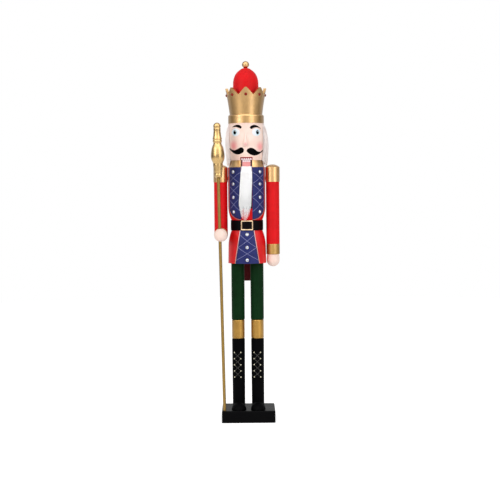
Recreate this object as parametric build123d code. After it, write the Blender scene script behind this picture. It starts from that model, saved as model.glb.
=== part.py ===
"""A tall turned-wood nutcracker king that stands on a plinth and holds a staff.

Millimetres, +Z up. The origin is the centre of the plinth's underside. The figure looks along -Y, so its own
right side is at -X. Turned blocks are stacked on dowels, the jaw is a lever on a cross pin through the chest,
and the staff stands loose in a socket in the plinth and a hole through the right hand.
"""

from build123d import *
import math
import os

# ---- Plinth and legs -------------------------------------------------------------------------------------
BASE_WIDTH = 222.0
BASE_DEPTH = 194.0
BASE_HEIGHT = 49.5
BASE_CORNER = 6.0
BASE_EDGE = 5.0
LEG_SPACING = 80.0
LEG_RADIUS = 27.0
ANKLE_RADIUS = 26.0
BOOT_HEIGHT = 291.5
GARTER_HEIGHT = 79.0
TROUSER_HEIGHT = 238.0
LEG_EDGE = 4.0
TROUSER_PROUD = 0.5
SHOE_HALF_WIDTH = 30.5
SHOE_RISE = 29.0
SHOE_LENGTH = 42.0
SHOE_TOE_INSET = 6.0
EYELET_RADIUS = 3.1
EYELET_TABLE = 2.2
EYELET_DEPTH = 1.8
EYELET_LIFT = 0.1
EYELET_TURN = {"right": -10.0, "left": -4.5}
EYELET_HALF_GAP = 13.0
EYELET_ROWS = 5
EYELET_PITCH = 25.8
EYELET_TOP_DROP = 58.0

# ---- Coat ------------------------------------------------------------------------------------------------
SKIRT_HEIGHT = 137.0
BELT_HEIGHT = 42.0
CHEST_HEIGHT = 220.0
HEM_RADIUS = 79.5
HIP_RADIUS = 78.0
HIP_DROP = 59.0
SKIRT_BULGE_INSET = 4.4
SKIRT_BULGE_DROP = 29.0
WAIST_RADIUS = 64.5
CHEST_RADIUS = 77.5
CHEST_CURVE_HEIGHT = 57.0
CHEST_BULGE_INSET = 3.3
CHEST_BULGE_HEIGHT = 30.0
BELT_THICKNESS = 3.0
BUCKLE_WIDTH = 51.0
BUCKLE_MARGIN = 0.5
BUCKLE_BAR = 5.0
BUCKLE_THICKNESS = 3.0
PANEL_THICKNESS = 1.5
TRIM_THICKNESS = 2.4
TRIM_WIDTH = 3.6
LAPEL_SLOT_GAP = 1.0
LAPEL_OUTER = 71.0
LAPEL_CORNER_WIDTH = 41.0
LAPEL_CORNER_HEIGHT = 55.0
LAPEL_FOOT = 5.0
PANEL_TOP_HALF = 27.0
PANEL_HEM_HALF = 49.0
STONE_RADIUS = 6.8
STONE_TABLE = 3.6
STONE_HEIGHT = 3.6
CHEST_STONE_ANGLE = 43.0
CHEST_STONE_DROPS = (19.5, 69.5, 124.5, 184.5)
SKIRT_STONE_DROPS = (17.0, 70.0, 122.0)

# ---- Head and crown --------------------------------------------------------------------------------------
COLLAR_HEIGHT = 29.0
COLLAR_FOOT_RADIUS = 75.5
COLLAR_TOP_RADIUS = 67.5
COLLAR_WAIST_INSET = 1.5
HEAD_HEIGHT = 153.5
HEAD_RADIUS = 72.0
CHIN_INSET = 4.0
CHEEK_BULGE = 1.0
CHEEK_HEIGHT = 80.0
NOSE_TOP = 118.0
NOSE_TIP = 58.0
NOSE_FOOT = 51.0
NOSE_BRIDGE_HALF = 4.5
NOSE_TIP_HALF = 10.5
NOSE_BRIDGE_REACH = 2.5
NOSE_TIP_REACH = 16.0
NOSE_FOOT_REACH = 9.5
NOSE_FOOT_HALF = 7.3
NOSE_FRONT_SHARE = 0.45
NOSE_SINK = 14.0
HAIR_THICKNESS = 15.0
HAIR_ROOT_THICKNESS = 3.0
HAIR_FROM_FRONT = 72.0
HAIR_TOP_GAP = 0.3
HAIR_LENGTH = 168.0
HAIR_FOOT_INSET = 2.0
BAND_HEIGHT = 37.0
BAND_OVERHANG = 2.5
BAND_ROUND = 8.0
BAND_ROUND_INSET = 4.8
BAND_SEAT = 1.0
CUP_HEIGHT = 109.5
CUP_NECK_INSET = 6.5
CUP_MIDDLE_FLARE = 7.6
RIM_FLARE = 17.8
CUP_WALL = 12.0
CUP_FLOOR = 15.0
POINTS = 8
POINT_HEIGHT = 30.0
POINT_FLAT = 2.4
NOTCH_START = 20.0
GEM_RADIUS = 6.5
GEM_SINK = 1.8
GEM_DROP = 29.0
DOME_GAP = 3.0
DOME_SHOULDER = 19.0
DOME_RISE = 85.0
BALL_RADIUS = 15.0
BALL_SEAT = 1.0
BALL_PEG_RADIUS = 3.0
BALL_PEG_LENGTH = 18.0

# ---- Jaw -------------------------------------------------------------------------------------------------
MOUTH_SIDE_GAP = 7.0
MOUTH_HEIGHT = 11.5
MOUTH_BACK_GAP = 9.5
SLOT_SIDE_GAP = 5.0
SLOT_FLOOR_DROP = 155.0
BACK_SLOT_SIDE_GAP = 3.0
BACK_SLOT_FLOOR_DROP = 170.0
SLOT_STEP_Y = 18.0
JAW_HALF_WIDTH = 17.0
JAW_PROUD = 2.5
JAW_DEPTH = 30.0
JAW_DROP = 45.0
JAW_CLEARANCE = 0.8
TEETH_THICKNESS = 4.0
LOWER_TEETH_HEIGHT = 6.5
TEETH_SIDE_INSET = 1.0
UPPER_TEETH_DEPTH = 8.0
PIVOT_Y = -5.0
PIVOT_DROP = 27.0
PIN_RADIUS = 4.0
PIN_CLEARANCE = 0.08
PIN_GRIP = 25.0
PIN_SUNK = 17.5
LEVER_HALF_WIDTH = 13.0
LEVER_TAIL_THICKNESS = 14.0
LEVER_TAIL_GAP = 5.5
LEVER_TAIL_BELOW_HEM = 82.0
LEVER_KNEE_DROP = 155.0
LEVER_ARM_ABOVE = 18.0
LEVER_ARM_BELOW = 18.0
LEVER_ROUND = 6.0
BEARD_HALF_WIDTH = 21.0
BEARD_TIP_HALF = 8.0
BEARD_THICKNESS = 13.0
BEARD_TIP_THICKNESS = 6.0
BEARD_LENGTH = 207.0
BEARD_TOP_ABOVE_COLLAR = 3.0
SOFT_GAP = 0.3

# ---- Arms and staff --------------------------------------------------------------------------------------
SLEEVE_RADIUS = 28.0
CAP_RADIUS = 30.0
CAP_HEIGHT = 61.0
CAP_DOME = 12.0
CAP_GAP = 1.0
SLEEVE_LENGTH = 259.0
CUFF_LENGTH = 44.0
CUFF_EDGE = 2.5
HAND_WRIST_RADIUS = 24.5
HAND_RADIUS = 27.0
HAND_LENGTH = 51.0
HAND_HEEL_PROUD = 0.7
UPPER_ARM_LENGTH = 218.0
FOREARM_LENGTH = 36.0
STAFF_RADIUS = 6.4
STAFF_HOLE_CLEARANCE = 0.35
STAFF_SIDE_INSET = 12.0
STAFF_HAND_OUTSET = 3.0
STAFF_FRONT_INSET = 20.0
STAFF_SOCKET_DEPTH = 12.0
STAFF_TO_FINIAL = 237.5
FINIAL_BORE_DEPTH = 40.0

# ---- Hidden fixings --------------------------------------------------------------------------------------
DOWEL_RADIUS = 6.0
LEG_DOWEL_RADIUS = 8.0
LEG_DOWEL_DEPTH = 45.0
HIP_DOWEL_DEPTH = 32.0
WAIST_DOWEL_RADIUS = 14.0
WAIST_DOWEL_DEPTH = 28.0
NECK_DOWEL_X = 38.0
NECK_DOWEL_Y = 32.0
NECK_DOWEL_DEPTH = 28.0
CROWN_DOWEL_RADIUS = 9.0
CROWN_DOWEL_DEPTH = 30.0
SHOULDER_DOWEL_DROP = 45.0
SHOULDER_DOWEL_DEPTH = 22.0
WRIST_DOWEL_DEPTH = 16.0
SCREW_RADIUS = 3.0
SCREW_HEAD_RADIUS = 6.5
SCREW_HEAD_HEIGHT = 4.0
SCREW_SUNK = 1.0
SCREW_LENGTH = 94.0

# ---- Levels and places, each worked out from the values above --------------------------------------------
BOOT_TOP = BASE_HEIGHT + BOOT_HEIGHT
GARTER_TOP = BOOT_TOP + GARTER_HEIGHT
HEM = GARTER_TOP + TROUSER_HEIGHT
BELT_BOTTOM = HEM + SKIRT_HEIGHT
BELT_TOP = BELT_BOTTOM + BELT_HEIGHT
WAIST_JOINT = (BELT_BOTTOM + BELT_TOP) / 2
SHOULDER = BELT_TOP + CHEST_HEIGHT
CHIN = SHOULDER + COLLAR_HEIGHT
BROW = CHIN + HEAD_HEIGHT
BAND_TOP = BROW + BAND_HEIGHT
RIM = BAND_TOP + CUP_HEIGHT
DOME_TOP = RIM + DOME_RISE
LEG_X = LEG_SPACING / 2
ARM_X = CHEST_RADIUS + CAP_GAP + CAP_RADIUS
TROUSER_RADIUS = LEG_RADIUS + TROUSER_PROUD
CHEST_BULGE_RADIUS = CHEST_RADIUS - CHEST_BULGE_INSET
SKIRT_BULGE_RADIUS = HIP_RADIUS - SKIRT_BULGE_INSET
CHIN_RADIUS = HEAD_RADIUS - CHIN_INSET
CHEEK_RADIUS = HEAD_RADIUS + CHEEK_BULGE
BAND_RADIUS = HEAD_RADIUS + BAND_OVERHANG
CUP_NECK_RADIUS = BAND_RADIUS - CUP_NECK_INSET
CUP_MIDDLE_RADIUS = CUP_NECK_RADIUS + CUP_MIDDLE_FLARE
RIM_RADIUS = CUP_NECK_RADIUS + RIM_FLARE
CUP_WELL_RADIUS = CUP_NECK_RADIUS - CUP_WALL
DOME_RADIUS = CUP_WELL_RADIUS - DOME_GAP
SLOT_HALF_WIDTH = JAW_HALF_WIDTH + SLOT_SIDE_GAP
MOUTH_HALF_WIDTH = JAW_HALF_WIDTH + MOUTH_SIDE_GAP
BACK_SLOT_HALF_WIDTH = LEVER_HALF_WIDTH + BACK_SLOT_SIDE_GAP
LAPEL_INNER = SLOT_HALF_WIDTH + LAPEL_SLOT_GAP
CAP_BOTTOM = SHOULDER - CAP_HEIGHT
SLEEVE_BOTTOM = CAP_BOTTOM - SLEEVE_LENGTH
ELBOW = CAP_BOTTOM - UPPER_ARM_LENGTH
PIVOT_Z = SHOULDER - PIVOT_DROP
SCREW_TOP = SCREW_SUNK + SCREW_LENGTH
JAW_TOP = CHIN - JAW_CLEARANCE
JAW_FRONT_Y = -(CHIN_RADIUS + JAW_PROUD)
JAW_BACK_Y = JAW_FRONT_Y + JAW_DEPTH
MOUTH_BACK_Y = JAW_BACK_Y + MOUTH_BACK_GAP
JAW_BOTTOM = SHOULDER - JAW_DROP
SHOULDER_DOWEL_Z = SHOULDER - SHOULDER_DOWEL_DROP
CUFF_END_Y = -(FOREARM_LENGTH + CUFF_LENGTH)
STAFF_HAND_Y = CUFF_END_Y - (HAND_LENGTH - HAND_RADIUS)
PIN_SPAN = (-(SLOT_HALF_WIDTH + PIN_GRIP), CHEST_RADIUS - PIN_SUNK)
FAR = 400.0  # reach of a cutting block, past every face of the figure
OVERCUT = 1.0  # how far a cutting block runs past the face that it opens
SLICE = 0.02  # thickness of the slice that a turned solid is measured on
SAME_LEVEL = 0.01  # edges this near to a height are at it

SIDES = {"right": -1, "left": 1}  # the figure's own right side is at -X


# ---- Helpers ---------------------------------------------------------------------------------------------
def at(radius, z):
    """A point of a turning outline, in the plane y = 0."""
    return (radius, 0, z)


def polyline(*points):
    """Straight edges through points given as (radius, height)."""
    return [Line(at(*a), at(*b)) for a, b in zip(points, points[1:])]


def arc(start, middle, end):
    """An arc edge through three points given as (radius, height)."""
    return [ThreePointArc(at(*start), at(*middle), at(*end))]


def turned(edges, sweep=360.0):
    """The solid turned about +Z from a closed outline in the plane y = 0."""
    return revolve(make_face(edges), Axis.Z, sweep)


def peg(radius, bottom, top, x=0.0, y=0.0):
    """An upright round peg, or the hole for it, between two heights."""
    return Pos(x, y, (bottom + top) / 2) * Cylinder(radius, top - bottom)


def cross_peg(radius, x_from, x_to, y, z):
    """A round peg along X."""
    return Pos((x_from + x_to) / 2, y, z) * Rot(0, 90, 0) * Cylinder(radius, abs(x_to - x_from))


def block(x_from, x_to, y_from, y_to, z_from, z_to):
    """A rectangular block between two corners."""
    centre = Pos((x_from + x_to) / 2, (y_from + y_to) / 2, (z_from + z_to) / 2)
    return centre * Box(x_to - x_from, y_to - y_from, z_to - z_from)


def side_plate(points, half_width, rounding=0.0):
    """A plate along X from an outline of (y, z) points, with its corners rounded."""
    outline = make_face(Polyline(*[(0, y, z) for y, z in points], close=True))
    if rounding:
        outline = fillet(outline.vertices(), rounding)
    return extrude(outline, half_width, both=True, dir=(1, 0, 0))


def front_prism(outline):
    """Everything in front of the figure's axis that a flat outline in the plane y = 0 covers."""
    return extrude(outline, FAR, dir=(0, -1, 0))


def ring_edges(solid, z):
    """The round edges of a turned solid at one height."""
    circles = solid.edges().filter_by(GeomType.CIRCLE)
    level = [e for e in circles if e.bounding_box().size.Z < SAME_LEVEL]
    return [e for e in level if abs(e.center().Z - z) < SAME_LEVEL]


def on_surface(radius, angle, z, lean=0.0):
    """A place on a turned surface: angle is from the front, towards +X, and its Z axis points outwards."""
    turn = angle - 90
    here = Pos(radius * math.cos(math.radians(turn)), radius * math.sin(math.radians(turn)), z)
    return here * Rot(0, 0, turn) * Rot(0, 90 + lean, 0)


def stone(radius, table, height):
    """A flat-backed cut stone that stands on the plane z = 0."""
    return Pos(0, 0, height / 2) * Cone(radius, table, height)


# ---- Outlines that more than one piece follows -----------------------------------------------------------
def skirt_side(grow=0.0):
    """The coat's side from the hem up to the belt, moved outwards by grow."""
    hip = (HIP_RADIUS + grow, BELT_BOTTOM - HIP_DROP)
    hem = (HEM_RADIUS + grow, HEM)
    bulge = (SKIRT_BULGE_RADIUS + grow, BELT_BOTTOM - SKIRT_BULGE_DROP)
    waist = (WAIST_RADIUS + grow, BELT_BOTTOM)
    return polyline(hem, hip) + arc(hip, bulge, waist)


def chest_side(grow=0.0):
    """The coat's side from the belt up to the shoulder, moved outwards by grow."""
    waist = (WAIST_RADIUS + grow, BELT_TOP)
    bulge = (CHEST_BULGE_RADIUS + grow, BELT_TOP + CHEST_BULGE_HEIGHT)
    ribs = (CHEST_RADIUS + grow, BELT_TOP + CHEST_CURVE_HEIGHT)
    return arc(waist, bulge, ribs) + polyline(ribs, (CHEST_RADIUS + grow, SHOULDER))


def skirt_turning(grow=0.0):
    """The turned skirt block up to the joint behind the belt."""
    top = polyline((WAIST_RADIUS + grow, BELT_BOTTOM), (WAIST_RADIUS + grow, WAIST_JOINT), (0, WAIST_JOINT))
    return turned(skirt_side(grow) + top + polyline((0, WAIST_JOINT), (0, HEM), (HEM_RADIUS + grow, HEM)))


def chest_turning(grow=0.0):
    """The turned chest block from the joint behind the belt up to the shoulder."""
    waist = WAIST_RADIUS + grow
    foot = polyline((0, WAIST_JOINT), (waist, WAIST_JOINT), (waist, BELT_TOP))
    top = polyline((CHEST_RADIUS + grow, SHOULDER), (0, SHOULDER), (0, WAIST_JOINT))
    return turned(foot + chest_side(grow) + top)


def cup_side(shrink=0.0):
    """The crown's cup from its neck to its rim, moved inwards by shrink."""
    neck = (CUP_NECK_RADIUS - shrink, BAND_TOP)
    middle = (CUP_MIDDLE_RADIUS - shrink, BAND_TOP + CUP_HEIGHT / 2)
    return arc(neck, middle, (RIM_RADIUS - shrink, RIM))


def cup_radius(z):
    """The cup's outer radius at a height, taken on the straight line from its middle to its rim."""
    share = (z - BAND_TOP - CUP_HEIGHT / 2) / (CUP_HEIGHT / 2)
    return CUP_MIDDLE_RADIUS + share * (RIM_RADIUS - CUP_MIDDLE_RADIUS)


def head_turning():
    """The head, turned like a barrel."""
    crown_seat = (HEAD_RADIUS, BROW)
    cheek = (CHEEK_RADIUS, CHIN + CHEEK_HEIGHT)
    side = arc((CHIN_RADIUS, CHIN), cheek, crown_seat)
    return turned(side + polyline(crown_seat, (0, BROW), (0, CHIN), (CHIN_RADIUS, CHIN)))


def coat_layer(block_at, thickness, outline):
    """A layer on the coat's front: block_at(grow) is the turned block, and outline its flat shape."""
    return (block_at(thickness) - block_at(0.0)) & front_prism(outline)


# ---- Staff line ------------------------------------------------------------------------------------------
STAFF_FOOT_X = -(BASE_WIDTH / 2 - STAFF_SIDE_INSET)
STAFF_FOOT_Y = -(BASE_DEPTH / 2 - STAFF_FRONT_INSET)
STAFF_FOOT = Vector(STAFF_FOOT_X, STAFF_FOOT_Y, BASE_HEIGHT - STAFF_SOCKET_DEPTH)
STAFF_HAND = Vector(-(ARM_X + STAFF_HAND_OUTSET), STAFF_HAND_Y, ELBOW)
STAFF_WAY = (STAFF_HAND - STAFF_FOOT).normalized()


def along_staff(radius, start, end):
    """A round rod on the staff's line, between two distances from the hand's centre."""
    plane = Plane(origin=STAFF_HAND + STAFF_WAY * start, z_dir=STAFF_WAY)
    return extrude(plane * Circle(radius), end - start)


STAFF_FOOT_REACH = -(STAFF_HAND - STAFF_FOOT).length


# ---- Plinth and legs -------------------------------------------------------------------------------------
def plinth():
    """The black block with the leg screws' holes and the staff's socket."""
    body = Pos(0, 0, BASE_HEIGHT / 2) * Box(BASE_WIDTH, BASE_DEPTH, BASE_HEIGHT)
    body = fillet(body.edges().filter_by(Axis.Z), BASE_CORNER)
    body = fillet(body.faces().sort_by(Axis.Z)[-1].edges(), BASE_EDGE)
    body -= leg_screws()
    for side in SIDES.values():
        body -= peg(SCREW_HEAD_RADIUS, 0, SCREW_SUNK, side * LEG_X)
    return body - along_staff(STAFF_RADIUS + STAFF_HOLE_CLEARANCE, STAFF_FOOT_REACH, 0)


def leg_screws():
    """Two countersunk screws up through the plinth into the boots."""
    screws = []
    for side in SIDES.values():
        head_middle = SCREW_SUNK + SCREW_HEAD_HEIGHT / 2
        head = Pos(0, 0, head_middle) * Cone(SCREW_HEAD_RADIUS, SCREW_RADIUS, SCREW_HEAD_HEIGHT)
        screws.append(Pos(side * LEG_X, 0, 0) * (head + peg(SCREW_RADIUS, SCREW_SUNK, SCREW_TOP)))
    return Compound(children=screws)


def boot_turning():
    """The tapered boot on the Z axis, before its top edge is eased."""
    foot, top = (ANKLE_RADIUS, BASE_HEIGHT), (LEG_RADIUS, BOOT_TOP)
    return turned(polyline((0, BASE_HEIGHT), foot, top, (0, BOOT_TOP), (0, BASE_HEIGHT)))


def boot(side):
    """A tapered turned boot, bored for its screw and its dowel."""
    body = fillet(ring_edges(boot_turning(), BOOT_TOP), LEG_EDGE)
    body -= peg(SCREW_RADIUS, 0, SCREW_TOP)
    body -= peg(LEG_DOWEL_RADIUS, BOOT_TOP - LEG_DOWEL_DEPTH, FAR + BOOT_TOP)
    return Pos(side * LEG_X, 0, 0) * body


def shoe(side):
    """The rounded toe in front of a boot, coped to it."""
    toe_y = -(BASE_DEPTH / 2 - SHOE_TOE_INSET)
    ball = scale(Sphere(1), by=(SHOE_HALF_WIDTH, SHOE_LENGTH, SHOE_RISE))
    dome = Pos(0, toe_y + SHOE_LENGTH, BASE_HEIGHT) * ball
    dome &= block(-FAR, FAR, -FAR, FAR, BASE_HEIGHT, FAR)
    dome -= boot_turning()
    dome &= block(-FAR, FAR, -FAR, 0, 0, FAR)
    return Pos(side * LEG_X, 0, 0) * dome


def eyelets(side, turned_by):
    """Two columns of round studs up the front of a boot, turned a little round it as if set by hand."""
    studs = []
    for row in range(EYELET_ROWS):
        z = BOOT_TOP - EYELET_TOP_DROP - row * EYELET_PITCH
        radius = ANKLE_RADIUS + (LEG_RADIUS - ANKLE_RADIUS) * (z - BASE_HEIGHT) / BOOT_HEIGHT
        angle = math.degrees(math.asin(EYELET_HALF_GAP / radius))
        for turn in (-angle, angle):
            place = Pos(side * LEG_X, 0, 0) * on_surface(radius + EYELET_LIFT, turn + turned_by, z)
            studs.append(place * stone(EYELET_RADIUS, EYELET_TABLE, EYELET_DEPTH))
    return Compound(children=studs)


def garter(side):
    """The gold drum between boot and trouser leg."""
    body = fillet(peg(LEG_RADIUS, BOOT_TOP, GARTER_TOP).edges().filter_by(GeomType.CIRCLE), LEG_EDGE)
    return Pos(side * LEG_X, 0, 0) * (body - peg(LEG_DOWEL_RADIUS, 0, FAR + GARTER_TOP))


def trouser_leg(side):
    """The green turned leg up to the coat's hem."""
    body = peg(TROUSER_RADIUS, GARTER_TOP, HEM)
    body = fillet(ring_edges(body, GARTER_TOP), LEG_EDGE)
    body -= peg(LEG_DOWEL_RADIUS, 0, GARTER_TOP + LEG_DOWEL_DEPTH)
    body -= peg(LEG_DOWEL_RADIUS, HEM - HIP_DOWEL_DEPTH, HEM + HIP_DOWEL_DEPTH)
    return Pos(side * LEG_X, 0, 0) * body


def leg_dowels():
    """One dowel through each garter into the boot and the trouser leg."""
    low, high = BOOT_TOP - LEG_DOWEL_DEPTH, GARTER_TOP + LEG_DOWEL_DEPTH
    return Compound(children=[peg(LEG_DOWEL_RADIUS, low, high, s * LEG_X) for s in SIDES.values()])


def hip_dowels():
    """One dowel from each trouser leg into the coat."""
    low, high = HEM - HIP_DOWEL_DEPTH, HEM + HIP_DOWEL_DEPTH
    return Compound(children=[peg(LEG_DOWEL_RADIUS, low, high, s * LEG_X) for s in SIDES.values()])


# ---- Coat ------------------------------------------------------------------------------------------------
def coat_skirt():
    """The coat below the belt."""
    return skirt_turning() - hip_dowels() - waist_dowel()


def waist_dowel():
    """The thick dowel between the two coat blocks."""
    return peg(WAIST_DOWEL_RADIUS, WAIST_JOINT - WAIST_DOWEL_DEPTH, WAIST_JOINT + WAIST_DOWEL_DEPTH)


def coat_chest():
    """The coat above the belt, slotted from front to back for the jaw and its lever."""
    body = chest_turning()
    floor, back_floor = SHOULDER - SLOT_FLOOR_DROP, SHOULDER - BACK_SLOT_FLOOR_DROP
    body -= block(-SLOT_HALF_WIDTH, SLOT_HALF_WIDTH, -FAR, SLOT_STEP_Y, floor, SHOULDER + OVERCUT)
    back = BACK_SLOT_HALF_WIDTH
    body -= block(-back, back, SLOT_STEP_Y - OVERCUT, FAR, back_floor, SHOULDER + OVERCUT)
    body -= cross_peg(PIN_RADIUS, PIN_SPAN[0], FAR, PIVOT_Y, PIVOT_Z)
    return body - waist_dowel() - neck_dowels() - shoulder_dowels()


def lapel_outline(side):
    """A lapel's flat shape: square at the top and inside, swept round at its lower outer corner."""
    top, foot = SHOULDER, BELT_TOP + LAPEL_FOOT
    width, height = LAPEL_CORNER_WIDTH, LAPEL_CORNER_HEIGHT
    turn = math.sqrt(0.5)
    start = (side * LAPEL_OUTER, foot + height)
    end = (side * (LAPEL_OUTER - width), foot)
    middle = (side * (LAPEL_OUTER - width + width * turn), foot + height - height * turn)
    inner, outer = side * LAPEL_INNER, side * LAPEL_OUTER
    edges = polyline(end, (inner, foot), (inner, top), (outer, top), start)
    return make_face(edges + arc(start, middle, end))


def lapel(side):
    """A thin lapel that follows the chest."""
    return coat_layer(chest_turning, PANEL_THICKNESS, lapel_outline(side))


def lapel_trim(side):
    """The cord along a lapel's outer and lower edge."""
    outline = lapel_outline(side)
    inner, outer = sorted((side * LAPEL_INNER, side * FAR))
    window = make_face(
        polyline((inner, 0), (outer, 0), (outer, SHOULDER), (inner, SHOULDER), (inner, 0))
    )
    strip = (offset(outline, TRIM_WIDTH, kind=Kind.INTERSECTION) - outline) & window
    return coat_layer(chest_turning, TRIM_THICKNESS, strip)


def skirt_panel_outline(grow=0.0):
    """The flat shape of the panel on the skirt's front, widened by grow on each side."""
    top, hem = PANEL_TOP_HALF + grow, PANEL_HEM_HALF + grow
    return make_face(
        polyline((-hem, HEM), (hem, HEM), (top, BELT_BOTTOM), (-top, BELT_BOTTOM), (-hem, HEM))
    )


def skirt_panel():
    """The thin panel on the skirt's front."""
    return coat_layer(skirt_turning, PANEL_THICKNESS, skirt_panel_outline())


def skirt_trim():
    """The cords along the panel's two slanting edges."""
    return coat_layer(skirt_turning, TRIM_THICKNESS, skirt_panel_outline(TRIM_WIDTH) - skirt_panel_outline())


def surface_radius(solid, z):
    """How far a turned solid's surface is from the axis at a height."""
    thin = solid & Pos(0, 0, z) * Cylinder(FAR, SLICE)
    return thin.bounding_box().max.X


def chest_stones():
    """Four cut stones down each lapel."""
    surface = chest_turning(PANEL_THICKNESS)
    stones = []
    for drop in CHEST_STONE_DROPS:
        z = SHOULDER - drop
        radius = surface_radius(surface, z)
        lean = surface_lean(surface, z)
        for side in SIDES.values():
            place = on_surface(radius, side * CHEST_STONE_ANGLE, z, lean)
            stones.append(place * stone(STONE_RADIUS, STONE_TABLE, STONE_HEIGHT))
    return Compound(children=stones)


def surface_lean(solid, z):
    """How many degrees a turned surface faces below the horizontal at a height."""
    step = STONE_RADIUS
    above, below = surface_radius(solid, z + step), surface_radius(solid, z - step)
    return math.degrees(math.atan2(above - below, 2 * step))


def skirt_stones():
    """Three cut stones down the skirt's panel."""
    surface = skirt_turning(PANEL_THICKNESS)
    stones = []
    for drop in SKIRT_STONE_DROPS:
        z = BELT_BOTTOM - drop
        place = on_surface(surface_radius(surface, z), 0, z, surface_lean(surface, z))
        stones.append(place * stone(STONE_RADIUS, STONE_TABLE, STONE_HEIGHT))
    return Compound(children=stones)


def belt():
    """The black strap round the waist, over the joint of the two coat blocks."""
    strap = peg(WAIST_RADIUS + BELT_THICKNESS, BELT_BOTTOM, BELT_TOP)
    return strap - peg(WAIST_RADIUS, 0, BELT_TOP + OVERCUT)


def belt_buckle():
    """The open gold frame on the belt's front, bent to it."""
    radius = WAIST_RADIUS + BELT_THICKNESS
    shell = peg(radius + BUCKLE_THICKNESS, BELT_BOTTOM, BELT_TOP) - peg(radius, 0, BELT_TOP + OVERCUT)
    place = Plane(origin=(0, 0, WAIST_JOINT), x_dir=(1, 0, 0), z_dir=(0, -1, 0))
    height = BELT_HEIGHT - 2 * BUCKLE_MARGIN
    window = Rectangle(BUCKLE_WIDTH - 2 * BUCKLE_BAR, height - 2 * BUCKLE_BAR)
    frame = Rectangle(BUCKLE_WIDTH, height) - window
    return shell & extrude(place * frame, FAR)


# ---- Jaw -------------------------------------------------------------------------------------------------
def pivot_pin():
    """The steel pin across the chest that the lever turns on."""
    return cross_peg(PIN_RADIUS, *PIN_SPAN, PIVOT_Y, PIVOT_Z)


def jaw_lever():
    """The board from the jaw over the pin and down the figure's back, ending below the hem."""
    tail_front = max(CHEST_RADIUS, HEM_RADIUS) + LEVER_TAIL_GAP
    tail_back = tail_front + LEVER_TAIL_THICKNESS
    knee, tail_end = SHOULDER - LEVER_KNEE_DROP, HEM - LEVER_TAIL_BELOW_HEM
    above, below = PIVOT_Z + LEVER_ARM_ABOVE, PIVOT_Z - LEVER_ARM_BELOW
    tenon = JAW_BACK_Y - JAW_DEPTH / 2
    outline = [
        (tenon, below),
        (tenon, above),
        (PIVOT_Y + LEVER_ARM_ABOVE / 2, above),
        (tail_back, knee + LEVER_TAIL_THICKNESS),
        (tail_back, tail_end),
        (tail_front, tail_end),
        (tail_front, knee),
        (PIVOT_Y - LEVER_ARM_BELOW / 2, below),
    ]
    board = side_plate(outline, LEVER_HALF_WIDTH, LEVER_ROUND)
    bore = cross_peg(PIN_RADIUS + PIN_CLEARANCE, -FAR, FAR, PIVOT_Y, PIVOT_Z)
    return board - bore


def jaw_block():
    """The moving lower jaw, mortised over the lever's front end."""
    lip = JAW_TOP - LOWER_TEETH_HEIGHT
    outline = [
        (JAW_FRONT_Y, JAW_BOTTOM),
        (JAW_BACK_Y, JAW_BOTTOM),
        (JAW_BACK_Y, JAW_TOP),
        (JAW_FRONT_Y + TEETH_THICKNESS, JAW_TOP),
        (JAW_FRONT_Y + TEETH_THICKNESS, lip),
        (JAW_FRONT_Y, lip),
    ]
    return side_plate(outline, JAW_HALF_WIDTH) - jaw_lever()


def lower_teeth():
    """The strip of teeth along the jaw's upper front edge."""
    front, back = JAW_FRONT_Y, JAW_FRONT_Y + TEETH_THICKNESS
    half = JAW_HALF_WIDTH - TEETH_SIDE_INSET
    return block(-half, half, front, back, JAW_TOP - LOWER_TEETH_HEIGHT, JAW_TOP)


def upper_teeth():
    """The strip of teeth that hangs from the mouth's roof."""
    front = JAW_FRONT_Y + TEETH_THICKNESS
    half = MOUTH_HALF_WIDTH - TEETH_SIDE_INSET
    return block(-half, half, front, front + UPPER_TEETH_DEPTH, CHIN, CHIN + MOUTH_HEIGHT)


def beard():
    """The tuft that hangs from the jaw's front down the chest."""
    top = SHOULDER + BEARD_TOP_ABOVE_COLLAR
    back = JAW_FRONT_Y - SOFT_GAP
    chest = min(back, -(CHEST_RADIUS + TRIM_THICKNESS + SOFT_GAP))
    low, tip = SHOULDER - CHEST_HEIGHT / 2, top - BEARD_LENGTH
    outline = [
        (back, top),
        (back, SHOULDER - JAW_DROP / 2),
        (chest, SHOULDER - JAW_DROP),
        (chest, tip),
        (chest - BEARD_TIP_THICKNESS, tip),
        (chest - BEARD_THICKNESS, low),
        (chest - BEARD_THICKNESS, SHOULDER - JAW_DROP / 2),
        (back - BEARD_THICKNESS, top),
    ]
    slab = side_plate(outline, BEARD_HALF_WIDTH)
    wide, narrow = BEARD_HALF_WIDTH, BEARD_TIP_HALF
    half_face = [(narrow, tip), (wide, low), (wide, top)]
    other_half = [(-x, z) for x, z in reversed(half_face)]
    face = make_face(polyline((-narrow, tip), *half_face, *other_half))
    return slab & front_prism(face)


# ---- Head and crown --------------------------------------------------------------------------------------
def collar():
    """The gold collar, open at the front for the jaw."""
    foot, top = (COLLAR_FOOT_RADIUS, SHOULDER), (COLLAR_TOP_RADIUS, CHIN)
    middle = (COLLAR_FOOT_RADIUS + COLLAR_TOP_RADIUS) / 2
    waist = (middle - COLLAR_WAIST_INSET, (SHOULDER + CHIN) / 2)
    body = turned(arc(foot, waist, top) + polyline(top, (0, CHIN), (0, SHOULDER), foot))
    wide = MOUTH_HALF_WIDTH
    body -= block(-wide, wide, -FAR, MOUTH_BACK_Y, SHOULDER - OVERCUT, CHIN + OVERCUT)
    return body - neck_dowels()


def neck_dowels():
    """Two dowels from the chest through the collar into the head."""
    low, high = SHOULDER - NECK_DOWEL_DEPTH, CHIN + NECK_DOWEL_DEPTH
    pegs = [peg(DOWEL_RADIUS, low, high, s * NECK_DOWEL_X, NECK_DOWEL_Y) for s in SIDES.values()]
    return Compound(children=pegs)


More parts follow.
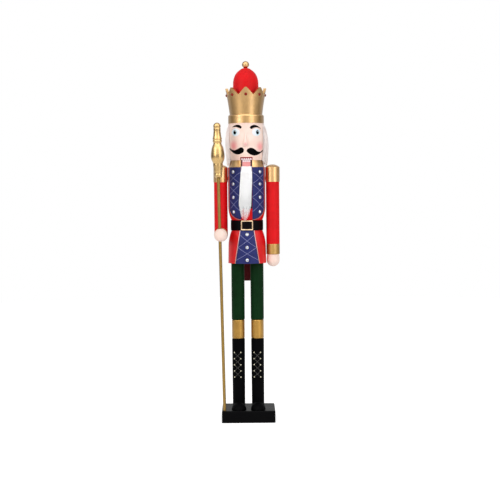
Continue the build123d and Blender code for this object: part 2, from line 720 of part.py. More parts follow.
def head():
    """The head block with the mouth cut into its lower front."""
    wide = MOUTH_HALF_WIDTH
    mouth = block(-wide, wide, -FAR, MOUTH_BACK_Y, CHIN - OVERCUT, CHIN + MOUTH_HEIGHT)
    return head_turning() - mouth - neck_dowels() - crown_dowel()


def nose():
    """The carved nose, widest at its tip, coped to the face."""
    face_y = -HEAD_RADIUS + NOSE_SINK
    sections = []
    for height, half, reach in (
        (NOSE_TOP, NOSE_BRIDGE_HALF, NOSE_BRIDGE_REACH),
        (NOSE_TIP, NOSE_TIP_HALF, NOSE_TIP_REACH),
        (NOSE_FOOT, NOSE_FOOT_HALF, NOSE_FOOT_REACH),
    ):
        z, front, ridge = CHIN + height, -CHEEK_RADIUS - reach, half * NOSE_FRONT_SHARE
        corners = [(-half, face_y), (half, face_y), (ridge, front), (-ridge, front)]
        sections.append(make_face(Polyline(*[(x, y, z) for x, y in corners], close=True)))
    return loft(sections, ruled=True) - head_turning()


def hair():
    """The strip of hair round the sides and back of the head."""
    top, foot = BROW - HAIR_TOP_GAP, BROW - HAIR_LENGTH
    root = CHEEK_RADIUS + SOFT_GAP
    full = root + HAIR_THICKNESS
    tips, start = (full - HAIR_FOOT_INSET, foot), (root + HAIR_ROOT_THICKNESS, top)
    side = arc(tips, (full, (top + foot) / 2), start)
    face = side + polyline(start, (root, top), (root, foot), tips)
    sweep = 360 - 2 * HAIR_FROM_FRONT
    return Rot(0, 0, HAIR_FROM_FRONT - 90) * turned(face, sweep)


def crown():
    """The gold crown: a rounded band under a flared cup with eight points."""
    band_foot, seat = (BAND_RADIUS, BROW), (CUP_NECK_RADIUS, BAND_TOP)
    rise = BAND_ROUND - BAND_SEAT
    bend = (BAND_ROUND_INSET**2 + rise**2) / (2 * BAND_ROUND_INSET)
    half_way = math.asin(rise / bend) / 2
    round_start = (BAND_RADIUS, BAND_TOP - BAND_ROUND)
    middle = (BAND_RADIUS - bend * (1 - math.cos(half_way)), round_start[1] + bend * math.sin(half_way))
    round_end = (BAND_RADIUS - BAND_ROUND_INSET, BAND_TOP - BAND_SEAT)
    outside = polyline(band_foot, round_start) + arc(round_start, middle, round_end)
    outside += polyline(round_end, (CUP_NECK_RADIUS, BAND_TOP - BAND_SEAT), seat) + cup_side()
    floor = BAND_TOP + CUP_FLOOR
    inside = polyline((RIM_RADIUS, RIM), (RIM_RADIUS - CUP_WALL, RIM), (CUP_WELL_RADIUS, floor), (0, floor))
    body = turned(outside + inside + polyline((0, floor), (0, BROW), band_foot))
    for index in range(POINTS):
        body -= Rot(0, 0, 360 / POINTS * (index + 0.5)) * notch()
    return body - crown_dowel()


def notch():
    """The V between two of the crown's points, on the front side. It narrows to the axis, so ridges stay level."""
    sections = []
    for radius in (NOTCH_START, RIM_RADIUS + OVERCUT):
        half = (radius - POINT_FLAT / 2 / math.sin(math.pi / POINTS)) * math.sin(math.pi / POINTS)
        wide, top = half * (1 + OVERCUT / POINT_HEIGHT), RIM + OVERCUT
        flat = polyline((-wide, top), (0, RIM - POINT_HEIGHT), (wide, top), (-wide, top))
        sections.append(Pos(0, -radius, 0) * make_face(flat))
    return loft(sections, ruled=True)


def crown_gems():
    """One round gem under each point."""
    z = RIM - GEM_DROP
    gems = []
    for index in range(POINTS):
        place = on_surface(cup_radius(z) - GEM_SINK, index * 360 / POINTS, z)
        gems.append(place * Sphere(GEM_RADIUS))
    ends = polyline((RIM_RADIUS, RIM), (0, RIM), (0, BAND_TOP), (CUP_NECK_RADIUS, BAND_TOP))
    cup = turned(cup_side() + ends)
    return Compound(children=[gem - cup for gem in gems])


def crown_dome():
    """The red padded-looking dome inside the crown, turned from wood."""
    floor, shoulder = BAND_TOP + CUP_FLOOR, RIM + DOME_SHOULDER
    rise = DOME_TOP - shoulder
    steps = [math.radians(a) for a in (22.5, 45, 67.5)]
    bend = [at(DOME_RADIUS * math.cos(a), shoulder + rise * math.sin(a)) for a in steps]
    top = Spline(
        at(DOME_RADIUS, shoulder), *bend, at(0, DOME_TOP), tangents=[(0, 0, 1), (-1, 0, 0)]
    )
    side = polyline((0, floor), (DOME_RADIUS, floor), (DOME_RADIUS, shoulder))
    body = turned(side + [top] + polyline((0, DOME_TOP), (0, floor)))
    return body - crown_dowel() - crown_ball()


def crown_ball():
    """The gold ball on top, with its peg."""
    ball = Pos(0, 0, DOME_TOP - BALL_SEAT + BALL_RADIUS) * Sphere(BALL_RADIUS)
    return ball + peg(BALL_PEG_RADIUS, DOME_TOP - BALL_PEG_LENGTH, DOME_TOP + BALL_RADIUS)


def crown_dowel():
    """The dowel through the crown's floor into the head and the dome."""
    return peg(CROWN_DOWEL_RADIUS, BROW - CROWN_DOWEL_DEPTH, BAND_TOP + CUP_FLOOR + CROWN_DOWEL_DEPTH)


# ---- Arms and staff --------------------------------------------------------------------------------------
def shoulder_dowels():
    """One dowel from each side of the chest into the arm's cap."""
    near, far = CHEST_RADIUS - SHOULDER_DOWEL_DEPTH, CHEST_RADIUS + CAP_GAP + SHOULDER_DOWEL_DEPTH
    pegs = [cross_peg(DOWEL_RADIUS, s * near, s * far, 0, SHOULDER_DOWEL_Z) for s in SIDES.values()]
    return Compound(children=pegs)


def arm_cap(side):
    """The domed gold shoulder cap."""
    rim, top = (CAP_RADIUS, SHOULDER), (0, SHOULDER + CAP_DOME)
    sphere = (CAP_RADIUS**2 + CAP_DOME**2) / (2 * CAP_DOME)
    half_way = math.asin(CAP_RADIUS / sphere) / 2
    middle = (sphere * math.sin(half_way), top[1] - sphere * (1 - math.cos(half_way)))
    edges = arc(rim, middle, top) + polyline(top, (0, CAP_BOTTOM), (CAP_RADIUS, CAP_BOTTOM), rim)
    body = Pos(side * ARM_X, 0, 0) * turned(edges)
    return body - shoulder_dowels() - cap_dowels()


def cap_dowels():
    """One dowel from each shoulder cap down into its sleeve."""
    low, high = CAP_BOTTOM - WRIST_DOWEL_DEPTH, CAP_BOTTOM
    pegs = [peg(DOWEL_RADIUS, low, high + WRIST_DOWEL_DEPTH / 2, s * ARM_X) for s in SIDES.values()]
    return Compound(children=pegs)


def free_sleeve():
    """The straight left sleeve."""
    return peg(SLEEVE_RADIUS, SLEEVE_BOTTOM, CAP_BOTTOM, ARM_X) - cap_dowels() - free_wrist_dowel()


def cuff_drum():
    """A gold cuff that stands on the plane z = 0, with eased ends."""
    return fillet(peg(SLEEVE_RADIUS, 0, CUFF_LENGTH).edges().filter_by(GeomType.CIRCLE), CUFF_EDGE)


def mitten():
    """A rounded hand that stands on the plane z = 0."""
    wrist, knuckle = (HAND_WRIST_RADIUS, 0), (HAND_RADIUS, HAND_LENGTH - HAND_RADIUS)
    heel = ((HAND_WRIST_RADIUS + HAND_RADIUS) / 2 + HAND_HEEL_PROUD, (HAND_LENGTH - HAND_RADIUS) / 2)
    turn = math.sqrt(0.5)
    bend = (HAND_RADIUS * turn, knuckle[1] + HAND_RADIUS * turn)
    edges = arc(wrist, heel, knuckle) + arc(knuckle, bend, (0, HAND_LENGTH))
    return turned(edges + polyline((0, HAND_LENGTH), (0, 0), wrist))


FREE_WRIST = Pos(ARM_X, 0, SLEEVE_BOTTOM) * Rot(180, 0, 0)
STAFF_WRIST = Pos(-ARM_X, -FOREARM_LENGTH, ELBOW) * Rot(90, 0, 0)


def wrist_dowel():
    """A dowel through a cuff that stands on the plane z = 0."""
    return peg(DOWEL_RADIUS, -WRIST_DOWEL_DEPTH, CUFF_LENGTH + WRIST_DOWEL_DEPTH)


def free_wrist_dowel():
    """The dowel through the free arm's cuff."""
    return FREE_WRIST * wrist_dowel()


def staff_wrist_dowel():
    """The dowel through the staff arm's cuff, stopped short of the staff's hole."""
    return STAFF_WRIST * peg(DOWEL_RADIUS, -WRIST_DOWEL_DEPTH, CUFF_LENGTH + WRIST_DOWEL_DEPTH / 2)


def bent_arm():
    """The staff arm's two sleeves as one shape, round at the elbow."""
    upper = peg(SLEEVE_RADIUS, ELBOW, CAP_BOTTOM, -ARM_X)
    lower = Pos(-ARM_X, 0, ELBOW) * Rot(90, 0, 0) * peg(SLEEVE_RADIUS, 0, FOREARM_LENGTH)
    return upper + lower + Pos(-ARM_X, 0, ELBOW) * Sphere(SLEEVE_RADIUS)


def mitre_half(upper):
    """Half of the space on one side of the elbow's mitre, which leans 45 degrees."""
    half = Pos(0, 0, FAR / 2 if upper else -FAR / 2) * Box(FAR, FAR, FAR)
    return Pos(-ARM_X, 0, ELBOW) * Rot(-45, 0, 0) * half


def elbow_dowel():
    """The dowel square through the elbow's mitre."""
    return Pos(-ARM_X, 0, ELBOW) * Rot(-45, 0, 0) * Cylinder(DOWEL_RADIUS, 2 * WRIST_DOWEL_DEPTH)


def arm_dowels():
    """The arms' own dowels: two at the caps, one at each wrist and one in the elbow."""
    pegs = [*cap_dowels().children, free_wrist_dowel(), staff_wrist_dowel() - elbow_dowel(), elbow_dowel()]
    return Compound(children=pegs)


def staff_sleeve():
    """The staff arm above the elbow's mitre."""
    return (bent_arm() & mitre_half(True)) - cap_dowels() - elbow_dowel() - staff_wrist_dowel()


def staff_forearm():
    """The staff arm in front of the elbow's mitre."""
    return (bent_arm() & mitre_half(False)) - elbow_dowel() - staff_wrist_dowel()


def staff_hand():
    """The right hand with the staff's hole through it."""
    hand = STAFF_WRIST * Pos(0, 0, CUFF_LENGTH) * mitten()
    hole = along_staff(STAFF_RADIUS + STAFF_HOLE_CLEARANCE, -2 * HAND_RADIUS, 2 * HAND_RADIUS)
    return hand - hole - staff_wrist_dowel()


def staff_rod():
    """The staff from its socket in the plinth up into the finial."""
    return along_staff(STAFF_RADIUS, STAFF_FOOT_REACH + SOFT_GAP, STAFF_TO_FINIAL + FINIAL_BORE_DEPTH)


FINIAL_OUTLINE = (
    # (radius, height above the finial's foot)
    (14.2, 1.5), (16.0, 7.0), (16.4, 10.0), (15.6, 14.0), (16.6, 23.0), (19.4, 44.0), (20.2, 50.0), (19.8, 56.0),
    (21.2, 61.0), (23.9, 67.0), (26.9, 76.0), (28.0, 89.0), (25.9, 107.0), (20.6, 128.0), (16.6, 141.0),
    (18.0, 144.5), (19.0, 148.5), (17.6, 152.5), (18.9, 157.0), (18.4, 160.0), (16.2, 170.0), (14.8, 184.0),
    (14.4, 192.0), (14.9, 196.5), (14.4, 199.5), (11.0, 203.0),
)
FINIAL_BALL_RADIUS = 15.2
FINIAL_BALL_Z = 208.0
FINIAL_FOOT_RADIUS = 12.0


def staff_finial():
    """The turned finial: a cup, a long bulb and a ball, with beads between."""
    side = Spline(*[at(r, z) for r, z in FINIAL_OUTLINE])
    foot, neck = FINIAL_OUTLINE[0], FINIAL_OUTLINE[-1]
    edges = [side] + polyline(neck, (0, neck[1]), (0, 0), (FINIAL_FOOT_RADIUS, 0), foot)
    body = turned(edges) + Pos(0, 0, FINIAL_BALL_Z) * Sphere(FINIAL_BALL_RADIUS)
    body -= peg(STAFF_RADIUS, 0, FINIAL_BORE_DEPTH)
    return Plane(origin=STAFF_HAND + STAFF_WAY * STAFF_TO_FINIAL, z_dir=STAFF_WAY).location * body


# ---- Every node ------------------------------------------------------------------------------------------
def pieces():
    """Each node's name and its solids."""
    made = {"base_plinth": plinth(), "leg_screws": leg_screws()}
    for name, side in SIDES.items():
        made[f"{name}_shoe"] = shoe(side)
        made[f"{name}_boot"] = boot(side)
        made[f"{name}_boot_eyelets"] = eyelets(side, EYELET_TURN[name])
        made[f"{name}_garter"] = garter(side)
        made[f"{name}_trouser_leg"] = trouser_leg(side)
        made[f"{name}_lapel"] = lapel(side)
        made[f"{name}_lapel_trim"] = lapel_trim(side)
        made[f"{name}_shoulder_cap"] = arm_cap(side)
    made |= {
        "leg_dowels": leg_dowels(),
        "hip_dowels": hip_dowels(),
        "coat_skirt": coat_skirt(),
        "skirt_panel": skirt_panel(),
        "skirt_trim": skirt_trim(),
        "skirt_stones": skirt_stones(),
        "waist_dowel": waist_dowel(),
        "belt": belt(),
        "belt_buckle": belt_buckle(),
        "coat_chest": coat_chest(),
        "chest_stones": chest_stones(),
        "jaw_pivot_pin": pivot_pin(),
        "jaw_lever": jaw_lever(),
        "jaw_block": jaw_block(),
        "lower_teeth": lower_teeth(),
        "beard": beard(),
        "upper_teeth": upper_teeth(),
        "collar": collar(),
        "neck_dowels": neck_dowels(),
        "head": head(),
        "nose": nose(),
        "hair": hair(),
        "crown": crown(),
        "crown_gems": crown_gems(),
        "crown_dome": crown_dome(),
        "crown_ball": crown_ball(),
        "crown_dowel": crown_dowel(),
        "shoulder_dowels": shoulder_dowels(),
        "arm_dowels": arm_dowels(),
        "left_sleeve": free_sleeve(),
        "left_cuff": FREE_WRIST * cuff_drum() - free_wrist_dowel(),
        "left_hand": FREE_WRIST * Pos(0, 0, CUFF_LENGTH) * mitten() - free_wrist_dowel(),
        "right_upper_sleeve": staff_sleeve(),
        "right_forearm": staff_forearm(),
        "right_cuff": STAFF_WRIST * cuff_drum() - staff_wrist_dowel(),
        "right_hand": staff_hand(),
        "staff_rod": staff_rod(),
        "staff_finial": staff_finial(),
    }
    return made


os.makedirs("parts", exist_ok=True)
for node, shape in pieces().items():
    export_step(shape, f"parts/{node}.step")
print("staff slides along", tuple(STAFF_WAY))
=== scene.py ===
"""Looks of a tall wooden nutcracker king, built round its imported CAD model.

Metres, +Z up. The figure looks along -Y, so its own right side is at -X. Turned and carved pieces keep their CAD
shape and get their real finish. Fur, cords, ribbons, stones, teeth, laces, the belt and the painted features are
surfaces worked out here, and their places come from the CAD nodes' boxes and turned outlines.
"""

import functools
import logging
import math
from dataclasses import dataclass, replace
from enum import Enum

import bpy
import numpy as np
from mathutils import Matrix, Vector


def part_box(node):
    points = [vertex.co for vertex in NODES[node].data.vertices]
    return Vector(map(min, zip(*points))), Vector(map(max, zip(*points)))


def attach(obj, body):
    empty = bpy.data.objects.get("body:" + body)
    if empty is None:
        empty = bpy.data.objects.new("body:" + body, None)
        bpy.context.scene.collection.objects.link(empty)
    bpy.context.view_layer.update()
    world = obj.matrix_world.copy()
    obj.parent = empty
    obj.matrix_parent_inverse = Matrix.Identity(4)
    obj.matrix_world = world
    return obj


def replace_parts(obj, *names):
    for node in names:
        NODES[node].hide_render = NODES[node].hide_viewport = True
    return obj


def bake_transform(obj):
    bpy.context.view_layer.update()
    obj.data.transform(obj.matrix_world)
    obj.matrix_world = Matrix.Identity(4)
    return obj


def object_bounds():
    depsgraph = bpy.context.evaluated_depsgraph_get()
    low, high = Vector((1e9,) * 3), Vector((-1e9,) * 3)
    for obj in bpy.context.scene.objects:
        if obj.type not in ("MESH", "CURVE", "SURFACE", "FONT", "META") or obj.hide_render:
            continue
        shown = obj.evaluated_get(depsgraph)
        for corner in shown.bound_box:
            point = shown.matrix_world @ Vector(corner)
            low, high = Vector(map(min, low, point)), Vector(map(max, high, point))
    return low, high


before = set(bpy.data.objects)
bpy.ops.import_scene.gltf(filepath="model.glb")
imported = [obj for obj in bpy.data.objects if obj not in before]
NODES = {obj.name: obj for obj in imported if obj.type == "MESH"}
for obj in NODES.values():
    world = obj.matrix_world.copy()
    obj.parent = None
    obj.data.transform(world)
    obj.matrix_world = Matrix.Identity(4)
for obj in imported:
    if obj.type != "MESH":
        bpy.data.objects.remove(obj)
CAD_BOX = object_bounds()
MM = 0.001  # metres in a millimetre
ANYWHERE = 9.0  # metres; higher than anything on the figure
BAKE_MAP = "OFBake"
SEED = 1816
LOG = logging.getLogger("nutcracker")

Array = np.ndarray
Line = tuple[tuple[float, float], ...]
Span = tuple[float, float, float, float]  # where a change starts and ends, and the strengths before and after
Spot = tuple[float, float, float, float]  # a sprayed spot's place across, height, radius and strength
Colour = tuple[float, float, float, float]
Material = bpy.types.Material
Tree = bpy.types.NodeTree
Node = bpy.types.Node
Socket = bpy.types.NodeSocket
Piece = bpy.types.Object


class Grain(Enum):
    """The way that the wood's grain and the painter's strokes run."""

    ALONG_X = (1, 0, 0)
    ALONG_Y = (0, 1, 0)
    ALONG_Z = (0, 0, 1)

    def stretch(self, across: float, along: float) -> tuple[float, ...]:
        """A pattern's cycles per metre on each axis, from its size in metres across and along the grain."""
        return tuple(1 / along if axis else 1 / across for axis in self.value)


class Side(Enum):
    """The figure's own two sides. The value is the sign of X."""

    RIGHT = -1
    LEFT = 1


# ---- Shader helpers --------------------------------------------------------------------------------------
PLUS = {"operation": "ADD"}
MINUS = {"operation": "SUBTRACT"}
TIMES = {"operation": "MULTIPLY"}
TIMES_PLUS = {"operation": "MULTIPLY_ADD"}
BELOW = {"operation": "LESS_THAN"}
ABOVE = {"operation": "GREATER_THAN"}
LARGEST = {"operation": "MAXIMUM"}
SMOOTH = {"interpolation_type": "SMOOTHSTEP"}
TINTS = {"data_type": "RGBA"}


def linear(colour: str) -> Colour:
    """Turns an sRGB hex colour into linear light.

    Args:
        colour: such as "#C8102E".

    Returns:
        Red, green, blue and an alpha of 1.
    """
    parts = np.array([int(colour[i : i + 2], 16) for i in (1, 3, 5)]) / 255
    curve = np.where(parts <= 0.04045, parts / 12.92, ((parts + 0.055) / 1.055) ** 2.4)
    return (*map(float, curve), 1.0)


def connect(tree: Tree, node: Node, **inputs: Node | Socket | float | tuple[float, ...]) -> None:
    """Sets a node's inputs, or links them.

    Args:
        tree: the node's tree.
        node: the node.
        inputs: a value, an output socket or a node for each input, by its name with _ for a space, or _0 for the
            first. A node stands for its first output.
    """
    for name, value in inputs.items():
        socket = node.inputs[int(name[1:])] if name.startswith("_") else node.inputs[name.replace("_", " ")]
        if isinstance(value, Node):
            value = value.outputs[0]
        if isinstance(value, Socket):
            tree.links.new(value, socket)
        else:
            socket.default_value = value


def add_node(
    tree: Tree, kind: str, settings: dict | None = None, **inputs: Node | Socket | float | tuple[float, ...]
) -> Node:
    """Adds a shader node with its settings, values and links.

    Args:
        tree: the material's or world's node tree.
        kind: the node's type without "ShaderNode".
        settings: the node's own options, by name.
        inputs: as connect takes them.

    Returns:
        The new node.
    """
    node = tree.nodes.new("ShaderNode" + kind)
    for name, value in (settings or {}).items():
        setattr(node, name, value)
    connect(tree, node, **inputs)
    return node


def start_material(name: str) -> tuple[Material, Tree, Node, Socket]:
    """Starts a material that holds one Principled shader.

    Args:
        name: the material's name.

    Returns:
        The material, its tree, its shader and the Object coordinates that its patterns read.
    """
    material = bpy.data.materials.new(name)
    material.use_nodes = True
    tree = material.node_tree
    shader = tree.nodes["Principled BSDF"]
    return material, tree, shader, add_node(tree, "TexCoord").outputs["Object"]


# ---- Finishes --------------------------------------------------------------------------------------------
@dataclass(frozen=True)
class Recess:
    """A slot through a painted piece, with walls of another colour: black as painted shade in the chest's slot,
    and a lightened red as painted light in the mouth and in the collar's slot.

    The slot is where |x| is under half_width and z is between low and high, in metres.
    """

    colour: str
    half_width: float
    low: float = 0.0
    high: float = ANYWHERE

    def mask(self, tree: Tree, coords: Socket) -> Node:
        """Finds the slot's walls.

        Args:
            tree: the material's node tree.
            coords: Object coordinates.

        Returns:
            A node that gives 1 on the slot's walls, and 0 elsewhere.
        """
        x, _, z = add_node(tree, "SeparateXYZ", _0=coords).outputs
        across = add_node(tree, "Math", {"operation": "ABSOLUTE"}, _0=x)
        inside = add_node(tree, "Math", BELOW, _0=across, _1=self.half_width)
        over_foot = add_node(tree, "Math", ABOVE, _0=z, _1=self.low)
        under_top = add_node(tree, "Math", BELOW, _0=z, _1=self.high)
        level = add_node(tree, "Math", TIMES, _0=over_foot, _1=under_top)
        return add_node(tree, "Math", TIMES, _0=inside, _1=level)


@dataclass(frozen=True)
class Airbrush:
    """A soft round spot of sprayed colour: its centre, its radius in metres and its strength from 0 to 1."""

    colour: str
    centre: tuple[float, float, float]
    radius: float
    strength: float


@dataclass(frozen=True)
class PaintedWood:
    """Enamel sprayed over turned beech.

    It gives an even colour that is a little deeper where the paint lies thicker, a dull satin shine, and grain
    lines that only just show as relief through the paint.
    """

    name: str
    colour: str
    deep: str
    roughness: float = 0.5
    shine: float = 0.15
    grain: Grain = Grain.ALONG_Z
    relief: float = 0.012 * MM
    recess: Recess | None = None
    sprayed: tuple[Airbrush, ...] = ()

    @functools.cache
    def material(self) -> Material:
        """Builds the material once.

        Returns:
            The material: mottle of 45 mm, grain lines of 1.8 by 60 mm, orange peel of 1.2 mm.
        """
        material, tree, shader, coords = start_material(self.name)
        along = add_node(tree, "Mapping", Vector=coords, Scale=self.grain.stretch(1.8 * MM, 60 * MM))
        lines = add_node(tree, "TexNoise", Vector=along, Scale=1.0, Detail=3.0)
        mottle = add_node(tree, "TexNoise", Vector=coords, Scale=1 / (45 * MM), Detail=2.0)
        peel = add_node(tree, "TexNoise", Vector=coords, Scale=1 / (1.2 * MM), Detail=1.0)
        depth = add_node(tree, "Math", TIMES_PLUS, _0=lines, _1=0.35, _2=mottle)
        share = add_node(tree, "MapRange", SMOOTH, _0=depth, _1=0.5, _2=0.95)
        colour = add_node(tree, "Mix", TINTS, _0=share, _6=linear(self.colour), _7=linear(self.deep)).outputs[2]
        for spot in self.sprayed:
            reach = add_node(tree, "VectorMath", {"operation": "DISTANCE"}, _0=coords, _1=spot.centre).outputs[1]
            core, rim = 0.1 * spot.radius, spot.radius
            strength = add_node(tree, "MapRange", SMOOTH, _0=reach, _1=core, _2=rim, _3=spot.strength, _4=0.0)
            colour = add_node(tree, "Mix", TINTS, _0=strength, _6=colour, _7=linear(spot.colour)).outputs[2]
        if self.recess:
            walls = self.recess.mask(tree, coords)
            colour = add_node(tree, "Mix", TINTS, _0=walls, _6=colour, _7=linear(self.recess.colour)).outputs[2]
        height = add_node(tree, "Math", TIMES_PLUS, _0=peel, _1=0.3, _2=lines)
        bump = add_node(tree, "Bump", Height=height, Strength=0.6, Distance=self.relief)
        sleek, dull = self.roughness - 0.04, self.roughness + 0.06
        gloss = add_node(tree, "MapRange", SMOOTH, _0=lines, _1=0.3, _2=0.7, _3=sleek, _4=dull)
        connect(tree, shader, Base_Color=colour, Roughness=gloss, Normal=bump, Specular_IOR_Level=self.shine)
        return material


@dataclass(frozen=True)
class GoldPaint:
    """Metallic gold lacquer brushed on turned beech.

    Bronze flakes lie flat in the lacquer, so it mirrors softly and banded, warm where it is thick, and it shows
    faint strokes along the piece. The lacquer's index is above the 1.5 of a clear lacquer, because the flakes
    near its surface make its soft mirror stronger.
    """

    name: str
    colour: str
    deep: str
    roughness: float = 0.38
    metallic: float = 0.95
    lacquer: float = 1.0
    lacquer_index: float = 1.95
    lacquer_roughness: float = 0.33
    grain: Grain = Grain.ALONG_Z
    relief: float = 0.004 * MM
    recess: Recess | None = None

    @functools.cache
    def material(self) -> Material:
        """Builds the material once.

        Returns:
            The material: strokes of 3 by 70 mm, mottle of 30 mm, flakes drawn at 0.7 mm so that they show.
        """
        material, tree, shader, coords = start_material(self.name)
        along = add_node(tree, "Mapping", Vector=coords, Scale=self.grain.stretch(3 * MM, 70 * MM))
        strokes = add_node(tree, "TexNoise", Vector=along, Scale=1.0, Detail=3.0)
        mottle = add_node(tree, "TexNoise", Vector=coords, Scale=1 / (30 * MM), Detail=2.0)
        flakes = add_node(tree, "TexNoise", Vector=coords, Scale=1 / (0.7 * MM), Detail=1.0)
        thickness = add_node(tree, "Math", PLUS, _0=strokes, _1=mottle)
        share = add_node(tree, "MapRange", SMOOTH, _0=thickness, _1=0.75, _2=1.25)
        colour = add_node(tree, "Mix", TINTS, _0=share, _6=linear(self.colour), _7=linear(self.deep)).outputs[2]
        metal = self.metallic
        if self.recess:  # no metal on the slot's walls
            walls = self.recess.mask(tree, coords)
            colour = add_node(tree, "Mix", TINTS, _0=walls, _6=colour, _7=linear(self.recess.colour)).outputs[2]
            metal = add_node(tree, "Math", TIMES_PLUS, _0=walls, _1=-self.metallic, _2=self.metallic)
        height = add_node(tree, "Math", TIMES_PLUS, _0=flakes, _1=0.25, _2=strokes)
        bump = add_node(tree, "Bump", Height=height, Strength=0.5, Distance=self.relief)
        sleek, dull = self.roughness - 0.02, self.roughness + 0.03
        gloss = add_node(tree, "MapRange", SMOOTH, _0=mottle, _1=0.35, _2=0.65, _3=sleek, _4=dull)
        connect(tree, shader, Base_Color=colour, Metallic=metal, Roughness=gloss, Normal=bump)
        connect(tree, shader, Coat_Weight=self.lacquer, Coat_IOR=self.lacquer_index)
        connect(tree, shader, Coat_Roughness=self.lacquer_roughness)
        return material


@dataclass(frozen=True)
class SatinRibbon:
    """Woven polyester satin glued flat on the wood: fine threads both ways, and a soft sheen."""

    name: str
    colour: str
    deep: str
    thread: float = 0.9 * MM  # drawn at about twice the real spacing, so that it shows

    @functools.cache
    def material(self) -> Material:
        """Builds the material once.

        Returns:
            The material: two crossed sets of threads, and mottle of 25 mm where the glue darkens the cloth.
        """
        material, tree, shader, coords = start_material(self.name)
        spacing = math.tau / 20 / self.thread  # a wave texture's bands are tau / 20 apart at a scale of 1
        weft, warp = (
            add_node(tree, "TexWave", {"bands_direction": way}, Vector=coords, Scale=spacing * share).outputs[1]
            for way, share in (("X", 1.0), ("Z", 0.6))
        )
        mottle = add_node(tree, "TexNoise", Vector=coords, Scale=1 / (25 * MM), Detail=3.0)
        threads = add_node(tree, "Math", TIMES, _0=weft, _1=0.4)
        weave = add_node(tree, "Math", TIMES_PLUS, _0=warp, _1=0.6, _2=threads)
        shade = add_node(tree, "Math", TIMES_PLUS, _0=weave, _1=0.35, _2=mottle)
        share = add_node(tree, "MapRange", SMOOTH, _0=shade, _1=0.4, _2=0.95)
        colour = add_node(tree, "Mix", TINTS, _0=share, _6=linear(self.deep), _7=linear(self.colour)).outputs[2]
        bump = add_node(tree, "Bump", Height=weave, Strength=0.5, Distance=0.12 * MM)
        connect(tree, shader, Base_Color=colour, Normal=bump, Roughness=0.5, Specular_IOR_Level=0.2)
        connect(tree, shader, Sheen_Weight=0.08, Sheen_Roughness=0.4)
        return material


@dataclass(frozen=True)
class SpunThread:
    """Twisted rayon or cotton: round strands with a dull silk shine and fine fibres round them."""

    name: str
    colour: str
    deep: str
    shade_colour: str = ""
    shade_heights: tuple[float, float] = (0.0, 0.0)

    @functools.cache
    def material(self) -> Material:
        """Builds the material once, with fibres of 0.3 mm and slow changes over 30 mm.

        Returns:
            The material. If a second colour is given, the colour goes over to it between the two given heights:
            painted shade, darker towards the second height.
        """
        material, tree, shader, coords = start_material(self.name)
        fibres = add_node(tree, "TexNoise", Vector=coords, Scale=1 / (0.3 * MM), Detail=3.0)
        drift = add_node(tree, "TexNoise", Vector=coords, Scale=1 / (30 * MM), Detail=1.0)
        tone = add_node(tree, "Math", TIMES_PLUS, _0=fibres, _1=0.5, _2=drift)
        share = add_node(tree, "MapRange", SMOOTH, _0=tone, _1=0.5, _2=1.0)
        colour = add_node(tree, "Mix", TINTS, _0=share, _6=linear(self.colour), _7=linear(self.deep)).outputs[2]
        # A fade by height: painted shade towards the second height.
        if self.shade_colour:
            start, end = self.shade_heights
            height = add_node(tree, "SeparateXYZ", _0=coords).outputs[2]
            shade_share = add_node(tree, "MapRange", SMOOTH, _0=height, _1=start, _2=end)
            colour = add_node(tree, "Mix", TINTS, _0=shade_share, _6=colour, _7=linear(self.shade_colour)).outputs[2]
        bump = add_node(tree, "Bump", Height=fibres, Strength=0.5, Distance=0.1 * MM)
        connect(tree, shader, Base_Color=colour, Normal=bump, Roughness=0.55, Specular_IOR_Level=0.25)
        return material


@dataclass(frozen=True)
class GrainedVinyl:
    """Embossed vinyl with a leather grain: black, closed, and a little shiny on the raised cells."""

    name: str
    colour: str
    deep: str

    @functools.cache
    def material(self) -> Material:
        """Builds the material once.

        Returns:
            The material: grain cells of 1.6 mm, and dust-fine pores of 0.4 mm.
        """
        material, tree, shader, coords = start_material(self.name)
        cells = add_node(tree, "TexVoronoi", Vector=coords, Scale=1 / (1.6 * MM))
        pores = add_node(tree, "TexNoise", Vector=coords, Scale=1 / (0.4 * MM), Detail=1.0)
        pits = add_node(tree, "Math", TIMES, _0=pores, _1=0.3)
        height = add_node(tree, "Math", MINUS, _0=pits, _1=cells)
        bump = add_node(tree, "Bump", Height=height, Strength=0.6, Distance=0.15 * MM)
        share = add_node(tree, "MapRange", SMOOTH, _0=cells, _1=0.2, _2=0.7)
        colour = add_node(tree, "Mix", TINTS, _0=share, _6=linear(self.colour), _7=linear(self.deep)).outputs[2]
        gloss = add_node(tree, "MapRange", SMOOTH, _0=cells, _1=0.1, _2=0.7, _3=0.36, _4=0.55)
        connect(tree, shader, Base_Color=colour, Normal=bump, Roughness=gloss, Specular_IOR_Level=0.05)
        return material


@dataclass(frozen=True)
class CutAcrylic:
    """Moulded acrylic stone with a foil back. The light that it throws out of some facets and the dark of others
    are painted, as a random tone for each facet.
    """

    name: str
    colour: str
    deep: str
    foil: float = 0.7
    facet: float = 2.6 * MM
    roughness: float = 0.16
    lacquer: float = 1.0
    shine: float = 0.5

    @functools.cache
    def material(self) -> Material:
        """Builds the material once.

        Returns:
            The material: each inner facet has its own tone between the two colours, as painted highlight and
                painted shade.
        """
        material, tree, shader, coords = start_material(self.name)
        # Each facet gets a random tone: lighter facets are painted highlights, darker ones painted shade.
        cells = add_node(tree, "TexVoronoi", {"feature": "F1"}, Vector=coords, Scale=1 / self.facet).outputs[1]
        tone = add_node(tree, "SeparateXYZ", _0=cells)
        share = add_node(tree, "MapRange", SMOOTH, _0=tone, _1=0.45, _2=0.9)
        colour = add_node(tree, "Mix", TINTS, _0=share, _6=linear(self.colour), _7=linear(self.deep)).outputs[2]
        connect(tree, shader, Base_Color=colour, Metallic=self.foil, Roughness=self.roughness)
        connect(tree, shader, Coat_Weight=self.lacquer, Coat_Roughness=0.05, Specular_IOR_Level=self.shine)
        return material


